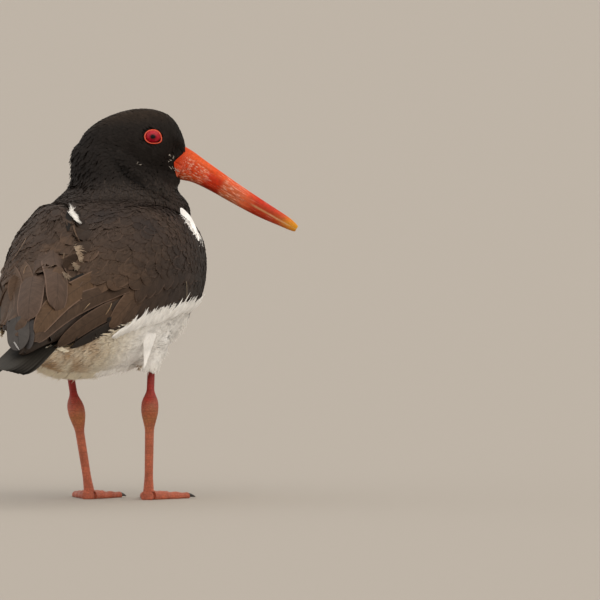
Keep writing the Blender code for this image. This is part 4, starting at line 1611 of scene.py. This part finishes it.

# %% [markdown]
# A few vanes hang clear of the body: the slate wing tip, the broad white feather over the
# thigh, the white leaf in front of the folded wing, and near-black vanes of painted shade in
# the gaps beside the left scapulars. They are flat, and face half way between the body's
# surface and the photograph.

# %% Feathers that hang clear
# Each: its vanes' shape, how much they face the photograph rather than lie along the body,
# and the vanes: pixel of the quill, pixel of the tip, half width, how far in front at each,
# colour, fringe.
# Painted shade: a near-black colour for vanes that stand for the shade beside the left scapulars.
HOLLOW_SHADE = "120e0b"
CLEAR = (
    ("slate_tip", quill_vanes, (0.9, 0.55, 1.9), 1.2, (
        ((28, 320), (29, 349), 3.6, (1.4, 1.4), "353130", 0.4),
        ((17, 318), (19, 356), 6.8, (1.9, 1.9), "3a3633", 0.5),
        ((14, 342), (19, 353), 0.35, (3.2, 3.2), "c9c7c4", 0),
    )),
    ("hanging_feather", white_plumage, (1, 0.02, 1.05), 2.5, (
        ((150, 333), (144.5, 369), 3.9, (2, 25.5), WHITE, 0),
    )),
    ("white_leaf", white_plumage, (0.2, 0.5, 1.5), 1.2, (
        ((184, 210), (199, 241), 2.4, (1, 1), WHITE, 0),
        ((181, 208), (196, 234), 2.9, (1.6, 1.6), WHITE, 0),
    )),
    # Painted shade: near-black vanes in the gaps along the edge of the left scapulars.
    ("painted_shade_hollows", dark_plumage, (0.6, 0.4, 1.6), 0.4, (
        ((84, 274), (66, 284), 1.7, (1, 1), HOLLOW_SHADE, 0),
        ((80, 276), (70, 287), 1.4, (1, 1), HOLLOW_SHADE, 0),
        ((69, 212), (68, 231), 1.8, (0.7, 0.7), HOLLOW_SHADE, 0),
    )),
)


def clear_feathers():
    """Every group of the table as one piece."""
    rolls = default_rng(95)
    for name, look, shape, turned, table in CLEAR:
        (roots, ups), (tips, _) = (seen([row[i] for row in table]) for i in (0, 1))
        half, ahead, fringe = (np.array([row[i] for row in table]) for i in (2, 3, 5))
        roots, tips = roots - LOOK * ahead[:, :1], tips - LOOK * ahead[:, 1:]
        faces = unit(ups.mean(0) - turned * LOOK)
        top, up, length = flat_vanes(roots, tips, half, shape=shape, up=faces, camber=0.12)
        shades = rolls.uniform(0.95, 1.05, (len(table), 1))
        colours = np.array([linear(row[4]) for row in table]) * shades
        vanes = [(top, up, length, half, np.column_stack([colours, fringe]))]
        big_feathers(name, look, vanes, 3)


clear_feathers()

# %% [markdown]
# ## Bill, eyes and legs
# The bare parts are lofts: a grid warped through a table of sections, so that its map
# still tells how far along and round each place is. The tables are the CAD's own, with
# more facets and with the grooves and scales that it left out.

# %% Lofts through tables of sections
LOFT_SHARP = radians(55)


def along_rows(rows, place):
    """The row at place, from 0 to 1, on a smooth curve through all rows."""
    last = len(rows) - 1
    first = min(int(place * last), last - 1)
    t = place * last - first
    a, b, c, d = (np.array(rows[min(max(first + i, 0), last)]) for i in (-1, 0, 1, 2))
    bend = 2 * a - 5 * b + 4 * c - d + t * (3 * (b - c) + d - a)
    return 0.5 * (2 * b + t * (c - a + t * bend))


def superellipse(angle, roundness):
    """(across, up) of a unit section at an angle from the top."""
    across, up = sin(angle), cos(angle)
    power = 2 / roundness
    return math.copysign(abs(across) ** power, across), math.copysign(abs(up) ** power, up)


def loft(name, surface, facets, look, replaced=(), colour=None, wear=None):
    """A closed piece from surface(u, v), in the bird's mm, that closes round v."""
    shape = bmesh.new()
    shape.loops.layers.uv.new("surface")
    along, round_it = facets
    bmesh.ops.create_grid(shape, x_segments=along, y_segments=round_it, size=0.5, calc_uvs=True)
    for corner in shape.verts:
        corner.co = Vector(to_row(surface(corner.co.x + 0.5, corner.co.y + 0.5)))
    bmesh.ops.remove_doubles(shape, verts=shape.verts, dist=0.005 * MM)
    bmesh.ops.holes_fill(shape, edges=shape.edges, sides=0)
    bmesh.ops.recalc_face_normals(shape, faces=shape.faces)
    mesh = bpy.data.meshes.new(name)
    shape.to_mesh(mesh)
    shape.free()
    mesh.shade_smooth()
    mesh.set_sharp_from_angle(angle=LOFT_SHARP)
    if colour:
        places = np.array([corner.co for corner in mesh.vertices]) / MM - ORIGIN
        lay_tints(mesh, np.column_stack([colour(places), wear(places)]))
    add_piece(name, mesh, look, replaced)


print("a square section's corner is at", np.round(superellipse(pi / 4, 8.0), 2))

# %% [markdown]
# The bill is keratin over bone, with a long groove before the nostril. It gives the eye
# waxy orange-red, worn to pale scratches, blood-dark in the middle, salmon farther out and
# amber at the tip. The broad colours are laid on the mesh's corners, and fine scratches
# come from stretched noise.

# %% The bill
# Each section: how far along, half width, then the heights of culmen and gape, and the
# keel's depth.
BILL = (
    (-5, 5.6, 10.2, 0, 8.2),
    (4, 5.5, 10.3, 0, 8.2),
    (13, 4.6, 9.5, 0.2, 5.3),
    (24, 3.8, 8.6, 0.5, 4.1),
    (38, 3.3, 7.6, 1, 3.7),
    (55, 2.7, 6.8, 1.6, 2.8),
    (70, 2, 6.2, 2, 0.8),
    (76, 1.5, 5.3, 2.3, -0.1),
    (78.5, 1, 4.4, 2.4, -0.9),
)
BILL_ROUNDNESS = 2.2
BILL_END = 0.6  # the last ring's size, as a share of its section
SLIT = 0.07  # mm from the gape to each half
NOSTRIL = (10, 27, 5.4, 1.5, 0.75)  # start, end, height, half height, depth of its groove
LIP_PALE = "d9b27c"
# How the colour runs along the bill: distance, then culmen, side and keel.
BILL_COLOURS = (
    (0, "d24a1c", "c4380c", "b83a12"),
    (8, "d9541f", "c43a0e", "bb481c"),
    (17, "e05c2c", "c84a22", "c24a22"),
    (20, "dc5020", "bc2c06", "9e2202"),
    (27.5, "da5222", "b22a04", "9a2406"),
    (30, "dd5a2c", "bc5028", "b0542c"),
    (38, "dc5c34", "c05a34", "b65c36"),
    (45, "d8542e", "cc5c34", "c85a32"),
    (51, "c23018", "ac3014", "a62c12"),
    (62, "c43a22", "a83a1a", "a8341a"),
    (69, "cc5228", "b45a26", "b44a20"),
    (73, "da8024", "ca841e", "c97628"),
    (78.5, "dc9e1c", "d8961a", "d08c20"),
)


def bill_colour(points):
    """Worn keratin: three bands along the bill, with mottled patches."""
    x, _, z = xyz(to_bill(points))
    x = x + 0.8 * waves(points, 7.0, 31)
    top, gape, keel = (along_table(x, BILL, i) for i in (2, 3, 4))
    bands = []
    for i in (1, 2, 3):
        band = [(row[0], *linear(row[i])) for row in BILL_COLOURS]
        bands.append(np.stack([along_table(x, band, channel) for channel in (1, 2, 3)], -1))
    up = (z - gape) / np.maximum(top - gape, 0.5)
    down = (gape - z) / np.maximum(gape + keel, 0.5)
    colour = mix(bands[1], bands[0], eased(up, 0.35, 0.75))
    colour = mix(colour, bands[2], eased(down, 0.1, 0.6))
    lipped = eased(0.7 - np.abs(z - gape), 0, 0.5) * eased(x, 46, 52) * (1 - eased(x, 72, 75))
    return mix(colour, linear(LIP_PALE), 0.6 * lipped)


def bill_wear(points):
    """Where the keratin is scratched and mottled pale: behind the nostril and in mid bill."""
    x, _, z = xyz(to_bill(points))
    scuffed = eased(x, -1, 6) * (1 - eased(x, 16, 22)) * (1 - eased(z, 5, 8))
    mottled = eased(x, 27, 31) * (1 - eased(x, 40, 47))
    return np.maximum(scuffed, 0.8 * mottled)


def bill_surface(half):
    """One mandible along the bill's axis, in the bird's mm, flat where it meets the other."""

    def surface(u, v):
        x, width, culmen, gape, keel = along_rows(BILL, u)
        across, up = superellipse(tau * v, BILL_ROUNDNESS)
        start, end = (gape + SLIT, culmen) if half == "upper" else (gape - SLIT, -keel)
        outwards = up if half == "upper" else -up
        share = max(outwards, 0.0)
        if u in (0, 1):
            width, share = width * BILL_END, 0.2 + share * BILL_END
        y, z = width * across, start + (end - start) * share
        if half == "upper":
            first, last, height, tall, deep = NOSTRIL
            run = max(0.0, min((x - first) / 3, (last - x) / 6, 1.0))
            groove = run * deep * max(0.0, 1 - abs(z - (height - 0.04 * (x - first))) / tall)
        else:
            groove = 0.25 * max(0.0, 1 - abs(z - (gape - 1.5)) / 0.7)
            groove *= min(1.0, max(0.0, (62 - x) / 20))
        y -= math.copysign(min(groove, abs(y)), y)
        return from_bill((x, y, z))

    return surface


def bill_side(x, z):
    """The bill's half width at a place along it and a height."""
    width, culmen, gape, keel = (along_table(x, BILL, i) for i in (1, 2, 3, 4))
    share = (z - gape) / (culmen - gape if z > gape else keel + gape)
    return width * max(0.0, 1 - abs(share) ** BILL_ROUNDNESS) ** (1 / BILL_ROUNDNESS)


GAPE_LONG = 9.0


def outline_aside(x, z, side, from_own, to_own):
    """How far from the middle the outline lies, at x and z in the head's or bill's axes."""
    inwards = from_own((0, -side, 0)) - from_own((0, 0, 0))
    place, _, hit = outline.cast(from_own((x, side * 40.0, z))[None], inwards[None])
    return abs(to_own(place[0])[1]), hit[0]


def gape_surface(side):
    """The bare corner of the mouth, which lies on the face and runs into the bill."""

    def surface(u, v):
        angle = tau * v
        x = GAPE[0] + GAPE_LONG * u
        top, floor = min(25.3 * u**0.9 + 0.2, 8.8), min(9.5 * u**0.8 + 0.2, 6.6)
        level = cos(angle)
        z = GAPE[1] + level * abs(level) * (top if level > 0 else floor)
        face, hit = outline_aside(x, z, side, from_bill, to_bill)
        face = face + 0.25 if hit and x < 4 else 0.0
        bill = bill_side(x, z) + 0.04
        soft = max(0.0, 1 - abs(face - bill) / 1.6)
        out = max(face, bill) + 0.4 * soft**2 * (u < 0.7) - 2.5 * max(u - 0.75, 0.0)
        out -= 0.45 * math.exp(-(((z - GAPE[1]) / 0.3) ** 2)) * (x < 3)
        out -= 2.2 * max(-sin(angle), 0.0)
        return from_bill((x, side * out, z))

    return surface


BILL_LONG, BILL_ROUND = 84.0, 24.0  # mm that the bill's map covers, along and round it
WORN_PALE = "e9c4ab"


def bill_finish():
    """Waxy keratin with lengthwise scratches."""
    material, add = new_material("worn_keratin", Roughness=0.42, Specular_IOR_Level=0.16,
                                 Subsurface_Weight=0.08, Subsurface_Scale=0.8 * MM)
    tint, worn = (add("Attribute", out=i, attribute_name="tint") for i in ("Color", "Alpha"))
    surface = add("UVMap", uv_map="surface")
    # Noises with patches of so many mm along the bill and round it.
    grain, scratches, flecks = (
        add("TexNoise", {"Scale": 1.0, **how, "Vector": add(
            "Mapping", {"Vector": surface, "Scale": (BILL_LONG / long, BILL_ROUND / wide, 1.0)})})
        for long, wide, how in (
            (1.3, 1.3, {"Detail": 4.0}),
            (5.0, 0.45, {"Detail": 3.0}),
            (3.2, 0.55, {"Detail": 4.0, "Roughness": 0.7}),
        )
    )
    flecks = add("MapRange", (flecks, 0.5, 0.66, 0.0, 0.75))
    pale = add("MapRange", (scratches, 0.6, 0.74, 0.0, 0.35))
    pale = add("Math", (worn, flecks, pale), **TIMES_PLUS)
    dark = add("MapRange", (grain, 0.3, 0.7, 0.82, 1.14))
    colour = add("Mix", {"Factor": 1.0, "A": tint, "B": dark}, **DARKENED)
    colour = add("Mix", {"Factor": pale, "A": colour, "B": rgba(WORN_PALE)}, **LAID_OVER)
    relief = add("Math", (scratches, grain), operation="ADD")
    waxy = add("MapRange", (grain, 0.3, 0.7, 0.34, 0.56))
    return dressed(material, colour, relief, 0.35, 0.12, Roughness=waxy)


keratin = (bill_finish(), "orange_bill")
tinted = {"colour": bill_colour, "wear": bill_wear}
for half in ("upper", "lower"):
    loft("worn_bill_" + half, bill_surface(half), (140, 44), keratin,
         ("bill_" + half,), **tinted)
for name, side in SIDES.items():
    loft("gape_" + name, gape_surface(side), (26, 48), keratin, **tinted)
print("bill reaches", from_bill((BILL[-1][0], 0, 1)).round(1))

# %% [markdown]
# The eye is a glossy ball: black pupil, crimson iris darker at its rim, and a clear
# cornea, which is the shader's own coat. A fleshy orange ring with a slight point at its
# lower front corner holds it. The angle from the ball's axis, kept in a map, tells iris
# from pupil.

# %% The eyes
EYE_RADIUS = 5.7
PUPIL, IRIS = 13.5 / 180, 62.0 / 180  # how far from the axis they reach, on the eye's map
IRIS_RAYS = 46.0  # patches round the iris
RING_RADIUS, RING_THICK = 4.6, 0.42
RING_POINT, RING_POINT_AT = 1.0, radians(38)  # below the front
RING_GRAIN = 0.7  # mm
LID_SQUASH = 0.84
CORNEA, CORNEA_WIDE = 0.03, 40  # how far it bulges, as a share, and its half angle


def eye_finish():
    """Wet and glassy: black pupil, crimson iris with fine rays, and a dark rim."""
    material, add = new_material("wet_eye", Roughness=0.3, Specular_IOR_Level=0.1,
                                 Coat_Weight=0.5, Coat_Roughness=0.02, Coat_IOR=1.34)
    surface = add("UVMap", uv_map="surface")
    away = add("SeparateXYZ", [surface], 1)
    spot = add("Mapping", {"Vector": surface, "Scale": (IRIS_RAYS, 7.0, 1.0)})
    rays = add("TexNoise", {"Vector": spot, "Scale": 1.0, "Detail": 3.0})
    shade = add("ValToRGB", [away])
    set_stops(shade, (
        (0.0, "020202"), (PUPIL - 0.006, "030202"), (PUPIL + 0.004, "6a0a14"),
        (0.14, "a81228"), (0.24, "a01022"), (IRIS - 0.02, "6c0810"), (IRIS, "1a0504"),
        (1.0, "0a0504"),
    ))
    streaks = add("MapRange", (rays, 0.3, 0.7, 0.7, 1.3))
    colour = add("Mix", {"Factor": 1.0, "A": shade, "B": streaks}, **DARKENED)
    return dressed(material, colour)


def ring_finish():
    """Bare flesh, orange and slightly grained."""
    material, add = new_material("fleshy_ring", Roughness=0.38, Subsurface_Weight=0.1,
                                 Subsurface_Scale=0.5 * MM)
    place = add("TexCoord", out="Object")
    grain = add("TexNoise", {"Vector": place, "Scale": 1 / (RING_GRAIN * MM), "Detail": 2.0})
    ends = {"A": rgba("b82a14"), "B": rgba("d9552c")}
    return dressed(material, add("Mix", {"Factor": grain, **ends}, **LAID_OVER), grain, 0.5, 0.1)


def eye_surface(side):
    """The ball, with u round its axis and v from the pupil to the back."""

    def surface(u, v):
        turn, away = tau * u, pi * v
        bulge = EYE_RADIUS * (1 + CORNEA * hump(math.degrees(away), CORNEA_WIDE))
        out = bulge * sin(away)
        y = side * (EYE_FROM_MIDDLE + bulge * cos(away))
        return from_head((out * cos(turn), y, out * sin(turn) * LID_SQUASH))

    return surface


def ring_surface(side):
    """The fleshy ring round the eye, lying on the ball, with its pointed corner."""

    def surface(u, v):
        turn, round_it = tau * u, tau * v
        corner = max(0.0, cos(turn + RING_POINT_AT)) ** 8
        out = RING_RADIUS + RING_POINT * corner + RING_THICK * cos(round_it)
        x, z = out * cos(turn), out * sin(turn) * LID_SQUASH
        seat = EYE_FROM_MIDDLE + math.sqrt(max(EYE_RADIUS**2 - x * x - (z / LID_SQUASH) ** 2, 4.0))
        seat = max(seat, outline_aside(x, z, side, from_head, to_head)[0] + 0.1)
        return from_head((x, side * (seat + 0.1 + 0.8 * RING_THICK * sin(round_it)), z))

    return surface


wet, flesh = ((finish(), "red_eye") for finish in (eye_finish, ring_finish))
for name, side in SIDES.items():
    loft("eyeball_" + name, eye_surface(side), (64, 40), wet, ("eye_" + name,))
    loft("eye_ring_" + name, ring_surface(side), (72, 12), flesh)
print("an eye is", 2 * EYE_RADIUS, "mm wide")

# %% [markdown]
# ## Legs and feet
# Legs are scaled skin: broad plates in front and behind, a net of small scales at the heel,
# and soft pads under the toes. They are crimson above the heel, orange-pink below. The
# plates are drawn by rings across the leg every 2 mm, broken up by noise, and raised by bump.

# %% The legs
# Points down each leg: inside the thigh, at its hem, the heel and the foot.
LEGS = {
    "left": ((-9, 17, 84), (-16, 18.5, 68.5), (-26, 10.7, 50.5), (-16, 6, 4.4)),
    "right": ((-9, -25, 84), (-16, -32.8, 71.5), (-26, -33, 52.5), (-16, -29.4, 4.4)),
}
# Sections down the bare leg: the share of the way, half width and half depth.
SHANK = ((0, 2.1, 2.1), (0.20, 2.2, 2.3), (0.30, 4.5, 3.6), (0.36, 5.1, 4.2), (0.43, 5, 4.2),
         (0.49, 4, 3.4), (0.56, 2.6, 2.9), (0.88, 2.4, 2.8), (1, 3.2, 3.4))
SHANK_IN_THIGH = 5
SHIN_BENDS_AT = 0.55
FOOT_BENDS_AT = (0.3, 0.65)
PLATE = 2  # mm from plate to plate
SCALE_MM = 1.7  # real scales at the heel are finer, and are drawn coarser to show
LEG_TOP = 90 * MM  # the height that the last of the leg's colours stands for
LEG_COLOURS = ((0, "b05a42"), (0.3, "be684c"), (0.5, "ba684c"), (0.6, "b26f46"),
               (0.68, "a4503a"), (0.76, "98281f"), (1, "841c18"))


def leg_finish():
    """Scaled skin: crimson above the heel and orange-pink below it."""
    material, add = new_material("scaled_leg", Roughness=0.5, Specular_IOR_Level=0.35,
                                 Subsurface_Weight=0.06, Subsurface_Scale=0.6 * MM)
    place = add("TexCoord", out="Object")
    z = add("SeparateXYZ", [place], 2)
    blotch = add("TexNoise", {"Vector": place, "Scale": 1 / (6.0 * MM), "Detail": 4.0})
    fine = add("TexNoise", {"Vector": place, "Scale": 1 / (1.5 * MM), "Detail": 3.0})
    level = add("Math", (blotch, 14 * MM, z), **TIMES_PLUS)
    shade = add("ValToRGB", [add("MapRange", (level, 0.0, LEG_TOP))])
    set_stops(shade, LEG_COLOURS)
    rings = add("Math", (z, 1 / (PLATE * MM)), **TIMES)
    rings = add("Math", (fine, 0.9, rings), **TIMES_PLUS)
    rings = add("Math", (rings, 1.0), operation="PINGPONG")
    cell = {"Vector": place, "Scale": 1 / (SCALE_MM * MM)}
    cells = add("TexVoronoi", cell, feature="DISTANCE_TO_EDGE")
    plate = add("MapRange", (rings, 0.0, 0.28, 0.0, 1.0), **SOFTLY)
    scale = add("MapRange", (cells, 0.0, 0.16, 0.0, 1.0), **SOFTLY)
    relief = add("Math", (plate, scale), **TIMES)
    seams = add("MapRange", (relief, 0.0, 1.0, 0.78, 1.04))
    cloudy = add("MapRange", (blotch, 0.3, 0.7, 0.82, 1.15))
    seams = add("Math", (seams, cloudy), **TIMES)
    colour = add("Mix", {"Factor": 1.0, "A": shade, "B": seams}, **DARKENED)
    return dressed(material, colour, relief, 0.6, 0.25)


def shank_surface(side):
    """The bare leg from inside the thigh to the foot, with a knobbed heel."""
    hip, hem, heel, foot = (np.array(p) for p in LEGS[side])
    top = hem + (hip - hem) / np.linalg.norm(hip - hem) * SHANK_IN_THIGH
    shin = top + (heel - top) * SHIN_BENDS_AT
    path = [top, shin, heel, *(heel + (foot - heel) * s for s in FOOT_BENDS_AT), foot]
    beside = np.array((-0.02, 0.0, 0.02))  # shares over which the sections are softened

    def surface(u, v):
        middle = along_rows(path, u)
        across, ahead = (along_table(u + beside, SHANK, i).mean() for i in (1, 2))
        angle = tau * v
        knob = 0.5 * hump(u - 0.4, 0.05) * (cos(angle * 2) + 0.6)
        edge = 0.18 * cos(2 * angle) * eased(u, 0.5, 0.6)
        ring = 1 + 0.012 * sin(u * 80 * tau / PLATE)
        x = (ahead * ring + knob * 0.4 + edge) * cos(angle)
        return middle + (x, (across * ring + knob * 0.3) * sin(angle), 0)

    return surface


print("a leg is", round(LEGS["left"][1][2]), "mm high to the thigh's hem")

# %% [markdown]
# Three toes lie flat on soft pads and end in short blunt claws of horn, with a low fold of
# skin between the middle and outer ones. Claws are nearly black, and worn paler at the tip.

# %% Toes, claws and webs
# Each toe: its heading in degrees outwards, length, half width and where it starts.
TOES = {"middle": (3, 36, 2.9, -3.5), "inner": (-22, 26, 2.6, 2.5),
        "outer": (31, 28.5, 2.7, 2.5)}
CLAW_LONG, CLAW_IN_TOE = 6.5, 0.8
WEB_REACH, WEB_NOTCH, WEB_START = 12.5, 4.5, 1.5


def claw_finish():
    """Horn, nearly black, with a worn paler tip."""
    material, add = new_material("black_horn", Roughness=0.35, Specular_IOR_Level=0.5)
    surface = add("UVMap", uv_map="surface")
    spot = add("Mapping", {"Vector": surface, "Scale": (1.5, 14.0, 1.0)})
    grain = add("TexNoise", {"Vector": spot, "Scale": 1.0, "Detail": 3.0})
    wear = add("Math", (add("SeparateXYZ", [surface], 0), grain), **TIMES)
    wear = add("MapRange", (wear, 0.25, 0.6))
    ends = {"A": rgba("1c1714"), "B": rgba("5b4c40")}
    return dressed(material, add("Mix", {"Factor": wear, **ends}, **LAID_OVER), grain, 0.4, 0.08)


def heading(degrees):
    """The way along the floor at an angle from straight ahead."""
    return np.array((cos(radians(degrees)), sin(radians(degrees)), 0.0))


def toe_surface(start, ahead, length, half):
    """A toe that lies flat on the floor on three soft pads."""
    aside = np.array((-ahead[1], ahead[0], 0.0))

    def surface(u, v):
        angle = tau * v
        swell = 1 + 0.1 * cos(tau * 3 * u)
        end = 0.55 if u in (0, 1) else 1
        reach = half * (1.12 - 0.42 * u) * swell * end
        height = half * (0.72 - 0.25 * u)
        plates = 0.06 * half * abs(sin(pi * length * u / PLATE)) * (end == 1)
        plates *= max(0.0, cos(angle))
        up = max(cos(angle) * reach, -height)
        side = sin(angle) * reach * (1 - 0.1 * min(cos(angle), 0.0))
        return start + ahead * length * u + aside * side + (0, 0, height + up + plates)

    return surface


def claw_surface(start, ahead):
    """A short claw that bends down towards the floor."""
    aside = np.array((-ahead[1], ahead[0], 0.0))

    def surface(u, v):
        angle = tau * v
        thick = 0.28 + 1.5 * (1 - u) ** 0.7
        up = 1.9 - 1.2 * u * u + cos(angle) * thick * 0.8
        return start + ahead * CLAW_LONG * u + aside * sin(angle) * thick + (0, 0, up)

    return surface


def web_surface(base, middle, outer):
    """The low fold of skin between the middle and outer toes."""

    def surface(u, v):
        angle, sag = tau * v, sin(pi * u)
        way = middle * (1 - u) + outer * u
        reach = WEB_REACH - WEB_NOTCH * sag
        out = WEB_START + (reach - WEB_START) * (0.5 - 0.5 * cos(angle))
        return base + way * out + (0, 0, 1.5 + 0.7 * sin(angle) - 0.5 * sag)

    return surface


scaled, horn = (leg_finish(), "pink_leg"), (claw_finish(), "dark_claw")
for name, side in SIDES.items():
    shank = shank_surface(name)
    loft("scaled_shank_" + name, shank, (150, 24), scaled, ("shank_" + name,))
    base = np.array((*LEGS[name][-1][:2], 0.0))
    ways = {toe: heading(side * row[0]) for toe, row in TOES.items()}
    for toe, (_, length, half, starts) in TOES.items():
        ahead, toe_name = ways[toe], toe + "_toe_" + name
        start = base + ahead * starts
        shape = toe_surface(start, ahead, length, half)
        loft("scaled_" + toe_name, shape, (72, 24), scaled, (toe_name,))
        claw = claw_surface(start + ahead * (length - CLAW_IN_TOE), ahead)
        loft("horn_" + toe_name, claw, (16, 14), horn, ("claw_" + toe_name,))
    web = web_surface(base, ways["middle"], ways["outer"])
    loft("web_" + name, web, (16, 10), scaled)
print(len(TOES), "toes on each foot")
